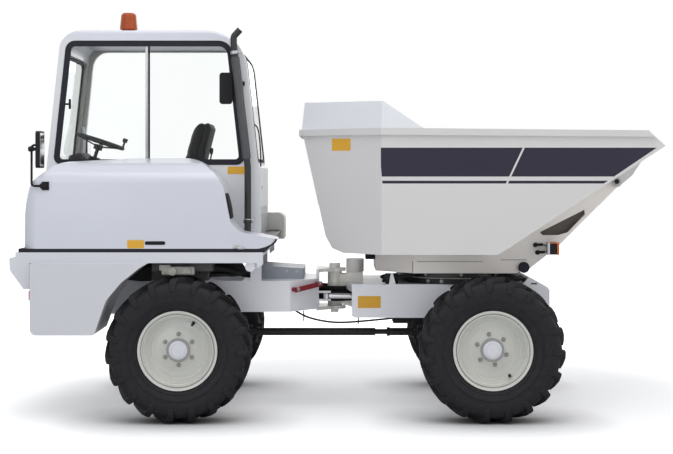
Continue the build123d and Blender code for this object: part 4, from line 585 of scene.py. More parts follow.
def plate(shape, low, high, soften, turn=None):
    """A block between two corners with rounded edges; turn places it by a matrix."""
    made = bmesh.ops.create_cube(shape, size=1.0)["verts"]
    size = [b - a for a, b in zip(low, high)]
    middle = Vector([(a + b) / 2 for a, b in zip(low, high)])
    bmesh.ops.scale(shape, vec=size, verts=made)
    edges = list({edge for vert in made for edge in vert.link_edges})
    round_off = bmesh.ops.bevel(
        shape, geom=edges, offset=soften, segments=2, profile=0.5, affect="EDGES"
    )
    bevelled = {vert for face in round_off["faces"] for vert in face.verts}
    made = list(bevelled | {vert for vert in made if vert.is_valid})
    if turn is not None:
        bmesh.ops.transform(shape, matrix=turn, verts=made)
    bmesh.ops.translate(shape, vec=middle, verts=made)
    return shape


def slab(shape, outline, low, high, soften=0.0):
    """An outline of (length, height) points given a thickness across the machine."""
    sides = [[shape.verts.new((x, y, z)) for x, z in outline] for y in (low, high)]
    skin(shape, sides)
    if soften:
        edges = list({edge for vert in sides[0] + sides[1] for edge in vert.link_edges})
        bmesh.ops.bevel(shape, geom=edges, offset=soften, segments=2, profile=0.5, affect="EDGES")
    return shape


def evaluated(maker):
    """The mesh that an object makes, with the object itself removed."""
    drawn = maker.evaluated_get(bpy.context.evaluated_depsgraph_get())
    mesh = bpy.data.meshes.new_from_object(drawn)
    bpy.data.objects.remove(maker)
    return mesh


def hose(name, points, radius, wears, body, smoothing=8):
    """A round hose along a smooth line through the points, its ends closed."""
    line = bpy.data.curves.new(name, "CURVE")
    line.dimensions = "3D"
    line.bevel_depth = radius
    line.bevel_resolution = 3
    line.resolution_u = smoothing
    line.use_fill_caps = True
    run = line.splines.new("NURBS")
    run.points.add(len(points) - 1)
    for point, place in zip(run.points, points):
        point.co = (*place, 1.0)
    run.order_u = 3
    run.use_endpoint_u = True
    mesh = evaluated(in_scene(name, line))
    shape = bmesh.new()
    shape.from_mesh(mesh)
    bpy.data.meshes.remove(mesh)
    bmesh.ops.remove_doubles(shape, verts=shape.verts, dist=1e-5)
    return settle(shape, name, wears, body)


print("helpers ready")

# %% [markdown]
# Bolts, nuts and lugs repeat round an axis. A Geometry Nodes group does it: it takes one
# item, copies it as often as its Count says, turns each copy on by Step, and makes the
# copies real. Its inputs are named, and it draws nothing at random.

# %% The repeat-round-an-axis group
repeat = bpy.data.node_groups.new("repeat_round_axis", "GeometryNodeTree")
for label, kind in (("Geometry", "Geometry"), ("Count", "Int"), ("Step", "Vector"), ("Material", "Material")):
    repeat.interface.new_socket(label, in_out="INPUT", socket_type="NodeSocket" + kind)
repeat.interface.new_socket("Geometry", in_out="OUTPUT", socket_type="NodeSocketGeometry")
asked, result = repeat.nodes.new("NodeGroupInput").outputs, repeat.nodes.new("NodeGroupOutput")
spots = add(repeat, "GeometryNodePoints", {"Count": asked["Count"]})
number = add(repeat, "GeometryNodeInputIndex").outputs[0]
turned = add(repeat, "ShaderNodeVectorMath", {0: asked["Step"], "Scale": number}, operation="SCALE")
copies = add(repeat, "GeometryNodeInstanceOnPoints", {
    "Points": spots.outputs[0], "Instance": asked["Geometry"], "Rotation": turned.outputs[0],
})
real = add(repeat, "GeometryNodeRealizeInstances", {0: copies.outputs[0]})
coat = add(repeat, "GeometryNodeSetMaterial", {"Geometry": real.outputs[0], "Material": asked["Material"]})
feed(repeat, result, {"Geometry": coat.outputs[0]})


def repeated(shape, name, wears, body, centre, axis, count):
    """Repeats a form made round the origin about an axis, then moves it to a centre."""
    maker = in_scene(name + ".maker", drawn_mesh(shape, name))
    copier = maker.modifiers.new("Repeat", "NODES")
    copier.node_group = repeat
    inputs = [item for item in repeat.interface.items_tree if item.in_out == "INPUT"]
    sockets = {item.name: item.identifier for item in inputs}
    copier[sockets["Count"]] = count
    copier[sockets["Step"]] = tuple(2 * pi / count * part for part in axis)
    copier[sockets["Material"]] = finish[wears]
    mesh = evaluated(maker)
    mesh.transform(Matrix.Translation(Vector(centre)))
    shade(mesh)
    return dress(in_scene(name, mesh), wears, body)


def bolt_head(shape, place, axis, across=0.024, tall=0.011, washer=0.019):
    """A washer with a chamfered hexagon head on it, standing on a surface."""
    half = across / 2
    spun(shape, [(0, 0), (washer, 0), (washer, 0.002), (0, 0.002)], place, axis, 20)
    hexagon = [(0, 0.002), (half, 0.002), (half, tall - 0.002), (half - 0.002, tall), (0, tall)]
    spun(shape, hexagon, place, axis, 6)
    return shape


print("group", repeat.name, "with", len(repeat.nodes), "nodes")

# %% [markdown]
# ## The wheels
# Each tyre of the solid model is a faceted stand-in. Here it is drawn as rubber really is:
# one profile, spun round the axle, gives a crowned tread, rounded shoulders and a sidewall
# with the fine rings of its mould. The slanted lugs all look alike, so one is made and the
# repeat group copies it, and the second row stands half a pitch on from the first.

# %% One wheel's sizes, measured from its own middle
AXLE_HEIGHT = 0.5125
WHEEL_Y = 0.810
TREAD, TOP = 0.4805, 0.5120
LUGS = 19
SIDEWALL = [
    # (radius, across), from the tread's middle to the bead
    (TREAD, 0.000), (0.4800, 0.080), (0.4770, 0.118), (0.4700, 0.138), (0.4560, 0.149),
    (0.4350, 0.1535), (0.4100, 0.1560), (0.3860, 0.1550), (0.3600, 0.1510), (0.3560, 0.1510),
    (0.3545, 0.1535), (0.3490, 0.1535), (0.3475, 0.1500), (0.3300, 0.1450), (0.3120, 0.1385),
    (0.3100, 0.1400), (0.3050, 0.1395), (0.3035, 0.1365), (0.2920, 0.1310), (0.2850, 0.1265),
    (0.2850, 0.1180), (0.2660, 0.1180),
]
LUG_SPINE = [
    # (across, turn in degrees, half width in degrees, top radius, foot radius)
    (0.004, 0.0, 2.1, TOP, 0.470),
    (0.060, -4.6, 2.3, TOP, 0.470),
    (0.118, -10.6, 2.75, 0.5110, 0.466),
    (0.138, -12.4, 2.95, 0.5030, 0.455),
    (0.152, -13.2, 3.00, 0.4800, 0.440),
    (0.1595, -13.3, 2.90, 0.4500, 0.425),
    (0.1590, -13.2, 2.60, 0.4150, 0.405),
]
# (share of the half width, level), where level 0 is the foot, 1 the edge and 2 the top
LUG_SECTION = [(-1.22, 0), (-0.92, 1), (-0.80, 2), (0.80, 2), (0.92, 1), (1.22, 0)]
LUG_EDGE = 0.003     # how far the lug's edge lies below its top
FOOT_INWARD = 0.012  # how far its foot is drawn in on the shoulder
SHOULDER = 0.13      # the breadth at which the shoulder starts


def lug_row(shape, side, first):
    """One lug of a row: it runs out from the middle, widens and turns down the shoulder."""
    sections = []
    for across, turn, half, top, foot in LUG_SPINE:
        ring = []
        for spread, level in LUG_SECTION:
            radius = (foot, top - LUG_EDGE, top)[level]
            angle = radians(first + turn + half * spread)
            y = across - (FOOT_INWARD if level == 0 and across > SHOULDER else 0.0)
            ring.append(shape.verts.new((radius * sin(angle), side * y, radius * cos(angle))))
        sections.append(ring)
    skin(shape, sections)


def join_pieces(name, pieces, wears, body):
    """Several meshes made into one piece."""
    whole = bmesh.new()
    for piece in pieces:
        whole.from_mesh(piece.data)
    mesh = bpy.data.meshes.new(name)
    whole.to_mesh(mesh)
    whole.free()
    for piece in pieces:
        bpy.data.objects.remove(piece)
    return dress(in_scene(name, mesh), wears, body)


print("tread radius", TREAD, "lugs a side", LUGS)

# %% [markdown]
# Tyre rubber is the darkest thing here, and nearly dull. Paler, rougher patches of grit lie
# over it, and a fine grain bends its surface a little.

# %% Tyre rubber
CLEAN_RUBBER = (0.0066, 0.0066, 0.0092, 1.0)
GRITTY_RUBBER = (0.0165, 0.0158, 0.0178, 1.0)
finish["tyre_rubber"], tree, shader = principled("tyre_rubber")
place = place_of(tree)[0]
grit = noise(tree, place, 26.0, 6.0)
crest = add(tree, "ShaderNodeMapRange", {"Value": grit, 1: 0.35, 2: 0.75, 3: 0.0, 4: 1.0})
feed(tree, shader, {
    "Base Color": mix_colour(tree, crest.outputs["Result"], CLEAN_RUBBER, GRITTY_RUBBER),
    "Roughness": math_node(tree, "ADD", math_node(tree, "MULTIPLY", grit, 0.2), 0.52),
    "Specular IOR Level": 0.28,
    "Normal": bump(tree, noise(tree, place, 320.0), 0.0006, 0.25),
})
print("rubber ready")

# %% [markdown]
# A wheel carries more than its tyre: a conical bead step inside the flange, the grey hub
# ring with its domed cap, six wheel nuts and the valve. They turn with the wheel, so they
# ride on the wheel's own body.

# %% Making the four wheels
BEAD_STEP = [
    # (radius, across), from the flange down to the disc
    (0.2535, 0.127), (0.2490, 0.127), (0.2462, 0.120), (0.2450, 0.100), (0.2380, 0.096),
    (0.2355, 0.086), (0.2120, 0.058), (0.2080, 0.049), (0.2010, 0.047), (0.1975, 0.038),
    (0.1960, 0.0355), (0.2535, 0.0355),
]
CAP_FACE = 0.090
HUB_RING = [
    # (radius, out from the cap's face)
    (0.060, -0.004), (0.060, 0.003), (0.0655, 0.004), (0.079, 0.002), (0.0835, -0.006),
    (0.0835, -0.016), (0.078, -0.016),
]
HUB_CAP = [
    (0, -0.003), (0, 0.010), (0.047, 0.0085), (0.0485, 0.0055), (0.050, 0.0085),
    (0.061, 0.0065), (0.0665, 0.002), (0.0665, -0.003),
]
NUT_CIRCLE = 0.109
NUT_FOOT = 0.0375
NUT_PARTS = [
    # washer, hexagon and stud: profile and number of sides
    ([(0, -0.001), (0.0205, -0.001), (0.0205, 0.0015), (0.0185, 0.003), (0, 0.003)], 24),
    ([(0, 0.0025), (0.0165, 0.0025), (0.0165, 0.017), (0.0145, 0.0195), (0, 0.0195)], 6),
    ([(0, 0.019), (0.0085, 0.019), (0.0085, 0.027), (0.007, 0.0285), (0, 0.0285)], 12),
]
VALVE_CIRCLE = 0.222
VALVE_LEAN = 0.35
VALVE = [
    (0, -0.014), (0.0125, -0.014), (0.0110, 0.016), (0.0080, 0.020), (0.0080, 0.036),
    (0.0092, 0.037), (0.0092, 0.052), (0, 0.053),
]
# degrees of the first nut and of the valve, as the wheels stand
PARKED = {"rear": (30.0, 60.4), "front": (41.0, -56.0)}
STATIONS = {"rear": -1.120, "front": 1.090}
wheel_triangles = 0
for wheel in WHEELS:
    side = 1 if wheel.endswith("left") else -1
    centre = (STATIONS[wheel.split("_")[0]], side * WHEEL_Y, AXLE_HEIGHT)
    turning = wheel + "_wheel"
    first_nut, valve_turn = PARKED[wheel.split("_")[0]]
    out = Vector((0, side, 0))

    rows = []
    for row_side, first in ((1, 0.0), (-1, 180.0 / LUGS)):
        lug = bmesh.new()
        lug_row(lug, row_side, first)
        rows.append(repeated(lug, wheel + "_lugs", "tyre_rubber", turning, centre, (0, 1, 0), LUGS))
    carcass = bmesh.new()
    profile = SIDEWALL + [(r, -a) for r, a in reversed(SIDEWALL[1:])]
    spun(carcass, profile, centre, (0, 1, 0), 6 * LUGS)
    rows.append(settle(carcass, wheel + "_carcass", "tyre_rubber", turning))
    tyre = join_pieces(wheel + "_treaded_tyre", rows, "tyre_rubber", turning)
    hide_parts(wheel + "_tyre")
    wheel_triangles += sum(len(face.vertices) - 2 for face in tyre.data.polygons)

    step = bmesh.new()
    spun(step, BEAD_STEP, centre, out, 72)
    settle(step, wheel + "_bead_step", "wheel_cream", turning)
    ring = bmesh.new()
    spun(ring, HUB_RING, Vector(centre) + out * CAP_FACE, out, 60)
    settle(ring, wheel + "_hub_ring", "hub_grey", turning)
    cap = bmesh.new()
    spun(cap, HUB_CAP, Vector(centre) + out * CAP_FACE, out, 60)
    settle(cap, wheel + "_hub_cap", "machine_white", turning)

    nut = bmesh.new()
    start = radians(first_nut)
    place = Vector((cos(start) * NUT_CIRCLE, side * NUT_FOOT, sin(start) * NUT_CIRCLE))
    for profile, corners in NUT_PARTS:
        spun(nut, profile, place, out, corners)
    repeated(nut, wheel + "_nuts", "zinc_bolt", turning, centre, (0, 1, 0), 6)

    low = radians(valve_turn)
    foot = Vector(centre) + Vector((cos(low) * VALVE_CIRCLE, side * 0.064, sin(low) * VALVE_CIRCLE))
    valve = bmesh.new()
    lean = Vector((-cos(low) * VALVE_LEAN, side, -sin(low) * VALVE_LEAN))
    spun(valve, VALVE, foot, lean, 14)
    settle(valve, wheel + "_valve", "moulded_black", turning)
print("four tyres of", wheel_triangles // 4, "triangles")

# %% [markdown]
# ## The hood and the covers
# Handles, catches and plates are laid on the machine's faces. Each is drawn as an outline
# of length and height, and every point of it is dropped sideways on the solid beneath, so
# that the plate lies on a slanted panel as well as on a straight one.

# %% Laying an outline on a face
CLEAR_OF_ALL = 3.0  # a breadth well outside the machine, where the drops start
bpy.context.view_layer.update()
studio = bpy.context.evaluated_depsgraph_get()


def face_at(node, x, z, side=-1):
    """The point and the normal of a node's outermost face at a length and a height."""
    start, way = Vector((x, side * CLEAR_OF_ALL, z)), Vector((0, -side, 0))
    hit, spot, normal, _ = nodes[node].ray_cast(start, way, depsgraph=studio)
    if not hit:
        raise ValueError(f"{node} has no face at {x}, {z}")
    return spot, normal


def rounded(low, high, radius, steps=4):
    """A rectangle of length and height with rounded corners."""
    points = []
    left, right = low[0] + radius, high[0] - radius
    foot, head = low[1] + radius, high[1] - radius
    centres = ((right, head), (left, head), (left, foot), (right, foot))
    for quarter, (x, z) in enumerate(centres):
        for step in range(steps + 1):
            angle = pi / 2 * (quarter + step / steps)
            points.append((x + radius * cos(angle), z + radius * sin(angle)))
    return points


def laid(shape, outline, node, thick, side=-1, sunk=0.001):
    """A thin slab with its back on a node's face."""
    hits = [face_at(node, x, z, side) for x, z in outline]
    levels = (-sunk, thick)
    skin(shape, [[shape.verts.new(spot + normal * level) for spot, normal in hits] for level in levels])
    return shape


def laid_piece(name, outline, node, thick, wears, body):
    """A piece of one laid slab."""
    return settle(laid(bmesh.new(), outline, node, thick), name, wears, body, smooth=False)


print("hood face at", tuple(round(v, 3) for v in face_at("engine_hood", -1.3, 1.4)[0]))

# %% [markdown]
# The hood closes on the black rubber edge of the deck, which runs up round the tip of its
# nose. A long handle is let into its lower part, and a catch holds it down near the nose.

# %% Rubber round the nose, handle, slit and catch
NOSE_EDGE = [
    # (length, height)
    (-0.640, 1.2160), (-0.560, 1.2190), (-0.505, 1.2330), (-0.462, 1.2530), (-0.436, 1.2750),
    (-0.430, 1.2950),
]
HANDLE_RECESS = rounded((-1.353, 1.2525), (-1.209, 1.2785), 0.012)


def ribbon(shape, line, face, side, width, proud):
    """A flat band of even width along a line on a side face of the machine."""
    points = [Vector((x, 0, z)) for x, z in line]
    rings = []
    for k, point in enumerate(points):
        ahead = points[min(k + 1, len(points) - 1)] - points[max(k - 1, 0)]
        over = Vector((-ahead.z, 0, ahead.x)).normalized() * (width / 2)
        ring = []
        for way, depth in ((-1, -0.006), (-0.7, proud), (0.7, proud), (1, -0.006)):
            spot = point + over * way
            ring.append(shape.verts.new((spot.x, side * (face + depth), spot.z)))
        rings.append(ring)
    skin(shape, rings)


seal = bmesh.new()
ribbon(seal, NOSE_EDGE, 0.900, -1, 0.014, 0.0015)
settle(seal, "nose_rubber", "seal_rubber", "rear_chassis")
laid_piece(
    "hood_handle_recess", HANDLE_RECESS, "engine_hood", 0.0012, "moulded_black", "rear_chassis"
)
grip = bmesh.new()
plate(grip, (-1.345, -0.9060, 1.2700), (-1.217, -0.9005, 1.2765), 0.0025)
settle(grip, "hood_handle_lip", "moulded_black", "rear_chassis")


def front_edge(node, z, start=-1.2, end=-0.3):
    """The foremost length at which a node's side face still stands at a height."""
    while end - start > 0.0005:
        middle = (start + end) / 2
        origin = Vector((middle, -CLEAR_OF_ALL, z))
        if nodes[node].ray_cast(origin, Vector((0, 1, 0)), depsgraph=studio)[0]:
            start = middle
        else:
            end = middle
    return start


SLIT_LEVELS = [
    # (height, how far the grille stands out there)
    (1.432, 0.004), (1.450, 0.009), (1.500, 0.012), (1.550, 0.012), (1.595, 0.009), (1.614, 0.004),
]
grille = bmesh.new()
grille_front = [(front_edge("engine_hood", z) + proud, z) for z, proud in SLIT_LEVELS]
grille_rear = [(front_edge("engine_hood", z) - 0.020, z) for z, _ in SLIT_LEVELS]
slab(grille, grille_front + grille_rear[::-1], -0.872, -0.640, 0.003)
settle(grille, "hood_vent_grille", "moulded_black", "rear_chassis")
catch = bmesh.new()
plate(catch, (-0.733, -0.9120, 1.2270), (-0.690, -0.8995, 1.2500), 0.004)
plate(catch, (-0.700, -0.9150, 1.2220), (-0.655, -0.8995, 1.2400), 0.004)
bolt_head(catch, (-0.712, -0.911, 1.2385), (0, -1, 0), 0.016, 0.006, 0.011)
settle(catch, "hood_catch", "bare_steel", "rear_chassis")
print("handle and catch on the hood")

# %% [markdown]
# Warning plates sit in four places on this side. They are bare yellow plates here, a
# millimetre thick, with rounded corners.

# %% Bare yellow plates
PLATES = {
    # name: (low corner, high corner, node it lies on, body)
    "plate_hood": ((-1.476, 1.229), (-1.359, 1.287), "engine_hood", "rear_chassis"),
    "plate_cab": ((-0.804, 1.750), (-0.680, 1.805), "cab_shell", "rear_chassis"),
    "plate_skip": ((-0.039, 1.9185), (0.094, 2.0055), "skip", "skip_body"),
    "plate_front_frame": ((0.151, 0.764), (0.319, 0.852), "front_frame", "front_chassis"),
}
for name, (low, high, node, body) in PLATES.items():
    laid_piece(name, rounded(low, high, 0.005), node, 0.0011, "plate_yellow", body)
print("plates", len(PLATES))

# %% [markdown]
# Hexagon bolts hold the red lock bar and the grey valve cover, and a thin black plate on the
# front frame's side plate is painted shade for a short slot in it.

# %% Bolts of the lock bar and the valve cover, and painted shade for a slot in the front plate
SMALL_BOLTS = {
    # name: (node, places as length and height, size across, size high)
    "lock_bar_bolts": ("lock_bar", ((-0.287, 0.903), (-0.130, 0.931)), 0.026, 0.010),
    "valve_cover_bolts": ("valve_cover", ((-0.382, 1.020), (-0.305, 1.018)), 0.020, 0.007),
}
for name, (node, places, across, tall) in SMALL_BOLTS.items():
    bolts = bmesh.new()
    for x, z in places:
        spot, normal = face_at(node, x, z)
        bolt_head(bolts, spot - normal * 0.001, normal, across, tall, across * 0.62)
    settle(bolts, name, "bare_steel", "rear_chassis")
# painted shade: the slot is a flat black plate laid on the face
slot = rounded((1.424, 0.9375), (1.471, 0.9475), 0.0045)
laid_piece("front_plate_slot_painted_shade", slot, "front_frame", 0.0008, "moulded_black", "front_chassis")
print("small bolts", len(SMALL_BOLTS))

# %% [markdown]
# Under the hood's rail the wheel arch is open, and the engine's underside shows there:
# a pale casting with bolted covers, black sheets behind it that are painted shade for the
# shaded depth of the arch, and hoses that run forward to the valves.

# %% Inside the wheel arch
# Painted shade: two thin black sheets stand where the arch lies in shade.
REAR_SHADE_SHEET = [(-1.640, 1.000), (-1.560, 1.124), (-1.270, 1.124), (-1.270, 0.985), (-1.420, 0.975)]
FORE_SHADE_SHEET = [(-0.960, 1.124), (-0.720, 1.124), (-0.660, 1.040), (-0.760, 1.000), (-0.960, 0.990)]
PUMP_CAP = [(0, 0), (0.030, 0), (0.030, 0.018), (0.024, 0.022), (0, 0.022)]
shade_sheet = bmesh.new()
slab(shade_sheet, REAR_SHADE_SHEET, -0.640, -0.634)
slab(shade_sheet, FORE_SHADE_SHEET, -0.452, -0.446)
settle(shade_sheet, "arch_shade_sheets", "moulded_black", "rear_chassis", smooth=False)
casting = bmesh.new()
plate(casting, (-1.245, -0.845, 1.036), (-1.010, -0.808, 1.096), 0.012)
plate(casting, (-1.110, -0.855, 1.042), (-1.030, -0.840, 1.088), 0.008)
plate(casting, (-1.262, -0.838, 1.066), (-1.180, -0.806, 1.108), 0.008)
spun(casting, PUMP_CAP, (-1.165, -0.845, 1.064), (0, -1, 0), 28)
for x, z in ((-1.222, 1.050), (-1.125, 1.050), (-1.095, 1.076), (-1.045, 1.076), (-1.045, 1.054)):
    bolt_head(casting, (x, -0.8448 if x < -1.12 else -0.8548, z), (0, -1, 0), 0.014, 0.008, 0.010)
settle(casting, "engine_side_casting", "lining_grey", "rear_chassis")
ARCH_HOSES = [
    [(-1.010, -0.700, 1.080), (-0.930, -0.690, 1.088), (-0.840, -0.560, 1.068),
     (-0.740, -0.480, 1.030), (-0.640, -0.380, 1.000), (-0.600, -0.260, 1.000)],
    [(-1.000, -0.640, 1.040), (-0.910, -0.620, 1.060), (-0.820, -0.500, 1.050),
     (-0.720, -0.440, 1.012), (-0.640, -0.340, 0.985), (-0.600, -0.230, 0.985)],
    [(-1.150, -0.600, 1.040), (-1.060, -0.590, 1.020), (-0.950, -0.570, 1.010),
     (-0.860, -0.520, 1.020), (-0.750, -0.420, 1.000), (-0.630, -0.250, 1.020)],
    [(-1.400, -0.700, 1.060), (-1.330, -0.720, 1.090), (-1.260, -0.740, 1.070),
     (-1.180, -0.760, 1.080), (-1.100, -0.760, 1.090), (-1.000, -0.700, 1.090)],
]
for number, line in enumerate(ARCH_HOSES):
    hose(f"arch_hose_{number}", line, 0.013, "hose_rubber", "rear_chassis")
print("hoses in the arch", len(ARCH_HOSES))

# %% [markdown]
# ## The cab and its fittings
# The exhaust climbs beside the front post inside a perforated guard. Two bright clamps
# hold it. A clamp is a band with an ear and a bolt.

# %% Exhaust clamps
EXHAUST_X, EXHAUST_Y = -0.652, -0.575
EXHAUST_LEAN = -0.113  # how the pipe leans back with height, above LEAN_FROM
LEAN_FROM = 1.800


def clamp_band(name, centre, axis, radius, wide):
    """A band round a pipe with an ear that carries its bolt."""
    half, inner, outer = wide / 2, radius - 0.003, radius + 0.002
    shape = bmesh.new()
    spun(shape, [(inner, -half), (inner, half), (outer, half), (outer, -half)], centre, axis, 40)
    middle = Vector(centre) + Vector((radius + 0.010, 0, 0))
    reach = Vector((0.010, 0.008, half))
    plate(shape, middle - reach, middle + reach, 0.002)
    bolt_head(shape, middle + Vector((0, -0.008, 0)), (0, -1, 0), 0.013, 0.008, 0.009)
    return settle(shape, name, "bare_steel", "rear_chassis")


clamp_band("exhaust_clamp_upper", (-0.7475, EXHAUST_Y, 2.634), (EXHAUST_LEAN, 0, 1), 0.0275, 0.022)
clamp_band("exhaust_clamp_lower", (EXHAUST_X, EXHAUST_Y, 1.412), (0, 0, 1), 0.0270, 0.026)
print("exhaust clamps at", EXHAUST_X, EXHAUST_Y)

# %% [markdown]
# The guard's small holes repeat round and along the pipe. They are far too many to cut, so
# the paint shows them: rows of small pale dots from the angle round the pipe and the
# height, and only where the guard is.

# %% Perforated guard on the exhaust
GUARD_LOW, GUARD_HIGH = 1.86, 2.60
DOTS_ROUND = 16.0   # waves of the pattern in one turn round the pipe
DOTS_UP = 420.0     # and its radians in a metre of height
DOT_LEVEL = 0.35    # a higher level makes smaller dots
perforated, tree, shader = principled("perforated_guard")
_, along, across, height = place_of(tree)
lean = math_node(tree, "MULTIPLY", math_node(tree, "SUBTRACT", height, LEAN_FROM), EXHAUST_LEAN)
middle = math_node(tree, "ADD", lean, EXHAUST_X)
from_middle = math_node(tree, "SUBTRACT", along, middle)
beside = math_node(tree, "SUBTRACT", across, EXHAUST_Y)
round_angle = math_node(tree, "ARCTAN2", from_middle, beside)
columns = math_node(tree, "SINE", math_node(tree, "MULTIPLY", round_angle, DOTS_ROUND))
rows = math_node(tree, "SINE", math_node(tree, "MULTIPLY", height, DOTS_UP))
dots = math_node(tree, "GREATER_THAN", math_node(tree, "MULTIPLY", columns, rows), DOT_LEVEL)
inside = between(tree, height, GUARD_LOW, GUARD_HIGH)
holes = math_node(tree, "MULTIPLY", dots, inside)
dotted = mix_colour(tree, holes, (0.016, 0.016, 0.018, 1.0), (0.24, 0.24, 0.25, 1.0))
weathered(tree, shader, dotted, 0.38, 0.0, 0.15, 80, 0.03)
feed(tree, shader, {"Normal": bump(tree, holes, 0.002, 0.6, invert=True)})
paint("exhaust", perforated)
print("guard from", GUARD_LOW, "to", GUARD_HIGH)

# %% [markdown]
# The beacon is amber plastic on a darker foot. It is one solid of the model, so its
# paint changes at the height of the foot, and ribs show as fine rings of relief with painted
# shade: the amber turns lighter and darker with each rib.

# %% Beacon
BEACON_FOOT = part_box("beacon")[0][2] + 0.020
RIBS_UP = 900.0  # radians of the ribs in a metre of height
dome, tree, shader = principled("beacon_amber")
height = place_of(tree)[3]
foot = math_node(tree, "LESS_THAN", height, BEACON_FOOT)
lens = math_node(tree, "SINE", math_node(tree, "MULTIPLY", height, RIBS_UP))
lens = math_node(tree, "ADD", math_node(tree, "MULTIPLY", lens, 0.5), 0.5)
# painted shade on the ribs: the amber is lighter and darker with the rib pattern
amber = mix_colour(tree, lens, (0.33, 0.038, 0.002, 1.0), (0.47, 0.075, 0.003, 1.0))
two_tone = mix_colour(tree, foot, amber, (0.20, 0.03, 0.006, 1.0))
weathered(tree, shader, two_tone, 0.22, 0.0, 0.1, 60, 0.01)
feed(tree, shader, {
    "Coat Weight": 0.2, "Specular IOR Level": 0.3, "Normal": bump(tree, lens, 0.002, 0.5),
})
paint("beacon", dome)
print("beacon foot to", round(BEACON_FOOT, 3))

# %% [markdown]
# Small fittings of the cab: the sliding window's bright rail and its latch, the wiper at
# the skip's end, the ball joints and clamps of the mirrors, a grab handle on the far post
# and the drive lever beside the seat.

# %% Window rail, latch and wiper
rail = plate(bmesh.new(), (-1.4065, -0.4985, 1.845), (-1.3885, -0.4905, 2.700), 0.002)
settle(rail, "window_slide_rail", "bare_steel", "rear_chassis")
latch = bmesh.new()
plate(latch, (-1.994, -0.512, 2.2555), (-1.962, -0.500, 2.2695), 0.004)
plate(latch, (-1.966, -0.520, 2.2260), (-1.950, -0.500, 2.3000), 0.006)
settle(latch, "window_latch", "moulded_black", "rear_chassis")
WIPER_ARM = [
    (-0.652, -0.360, 2.150), (-0.610, -0.360, 2.118), (-0.585, -0.360, 2.080),
    (-0.572, -0.360, 1.950), (-0.568, -0.360, 1.820), (-0.575, -0.360, 1.768),
    (-0.610, -0.360, 1.758),
]
GRAB_HANDLE = [
    (-2.060, 0.470, 2.120), (-2.035, 0.430, 2.130), (-2.030, 0.428, 2.060),
    (-2.030, 0.428, 1.960), (-2.035, 0.430, 1.890), (-2.060, 0.470, 1.900),
]
DRIVE_LEVER = [
    (-1.000, -0.180, 1.760), (-0.985, -0.240, 1.790), (-0.957, -0.280, 1.830),
    (-0.945, -0.290, 1.880), (-0.942, -0.290, 1.905),
]
hose("wiper_arm", WIPER_ARM, 0.005, "moulded_black", "rear_chassis")
BLADE_TURN = Matrix.Rotation(radians(-6), 4, "Y")
KNOB = [(0, -0.020), (0.009, -0.018), (0.013, 0.0), (0.014, 0.018), (0.009, 0.029), (0, 0.031)]
blade = bmesh.new()
plate(blade, (-0.650, -0.368, 2.060), (-0.632, -0.352, 2.200), 0.003, turn=BLADE_TURN)
plate(blade, (-0.612, -0.375, 1.735), (-0.562, -0.345, 1.790), 0.006)
plate(blade, (-0.604, -0.375, 1.640), (-0.558, -0.345, 1.664), 0.005)
spun(blade, [(0, 0), (0.011, 0), (0.011, 0.090), (0, 0.090)], (-0.585, -0.360, 1.650), (0, 0, 1), 16)
settle(blade, "wiper_motor", "moulded_black", "rear_chassis")
hose("grab_handle_left", GRAB_HANDLE, 0.012, "machine_white", "rear_chassis")
hose("drive_lever", DRIVE_LEVER, 0.006, "moulded_black", "rear_chassis")
knob = spun(bmesh.new(), KNOB, (-0.942, -0.290, 1.916), (0.05, 0, 1), 20)
settle(knob, "drive_lever_knob", "moulded_black", "rear_chassis")
print("cab fittings made")

# %% [markdown]
# Each rear mirror has a ball joint on its arm and a silvered pane in its housing. A clamp
# holds the right arm near the hood.

# %% Mirror joints and glass
HANDS = {"right": -1, "left": 1}
BALL = [(0, -0.022), (0.015, -0.018), (0.022, 0), (0.015, 0.018), (0, 0.022)]
NECK = [(0, 0), (0.012, 0), (0.012, 0.040), (0, 0.040)]
CLAMP_FOOT = [(0, 0), (0.022, 0), (0.022, 0.006), (0.016, 0.009), (0, 0.009)]
for hand, side in HANDS.items():
    y = side * 0.930
    joint = spun(bmesh.new(), BALL, (-2.145, y, 1.926), (1, 0, 0), 24)
    spun(joint, NECK, (-2.150, y, 1.926), (1, 0, 0), 16)
    settle(joint, "mirror_joint_" + hand, "moulded_black", "rear_chassis")
    low, high = sorted((side * 0.822, side * 0.946))
    pane = plate(bmesh.new(), (-2.0790, low, 1.806), (-2.0765, high, 2.039), 0.001)
    settle(pane, "mirror_glass_" + hand, "mirror_silver", "rear_chassis", smooth=False)
clamp = spun(bmesh.new(), CLAMP_FOOT, (-2.066, -0.9195, 1.6665), (0, -1, 0), 28)
bolt_head(clamp, (-2.066, -0.928, 1.6665), (0, -1, 0), 0.016, 0.009, 0.011)
settle(clamp, "mirror_clamp", "moulded_black", "rear_chassis")
print("mirror joints", len(HANDS))

# %% [markdown]
# ## Front half: swivel frame, slewing ring and skip
# The swivel frame lies in shade under the skip, and its paint carries painted light: it is
# set lighter and warmer than the hood's white, as if lit in open air. Its lowest ring, which
# turns on the slewing bearing, is black: the paint finds that ring by its height and its
# distance from the swivel axis.

# %% Swivel frame paint with painted light
SWIVEL_X = 0.923
RING_TOP = 1.0272
BLACK_REACH = 0.478
swivel_paint_and_painted_light, tree, shader = principled("swivel_paint_and_painted_light")
_, along, across, height = place_of(tree)
ahead = math_node(tree, "POWER", math_node(tree, "SUBTRACT", along, SWIVEL_X), 2.0)
aside = math_node(tree, "POWER", across, 2.0)
near = math_node(tree, "LESS_THAN", math_node(tree, "ADD", ahead, aside), BLACK_REACH**2)
black = math_node(tree, "MULTIPLY", near, math_node(tree, "LESS_THAN", height, RING_TOP))
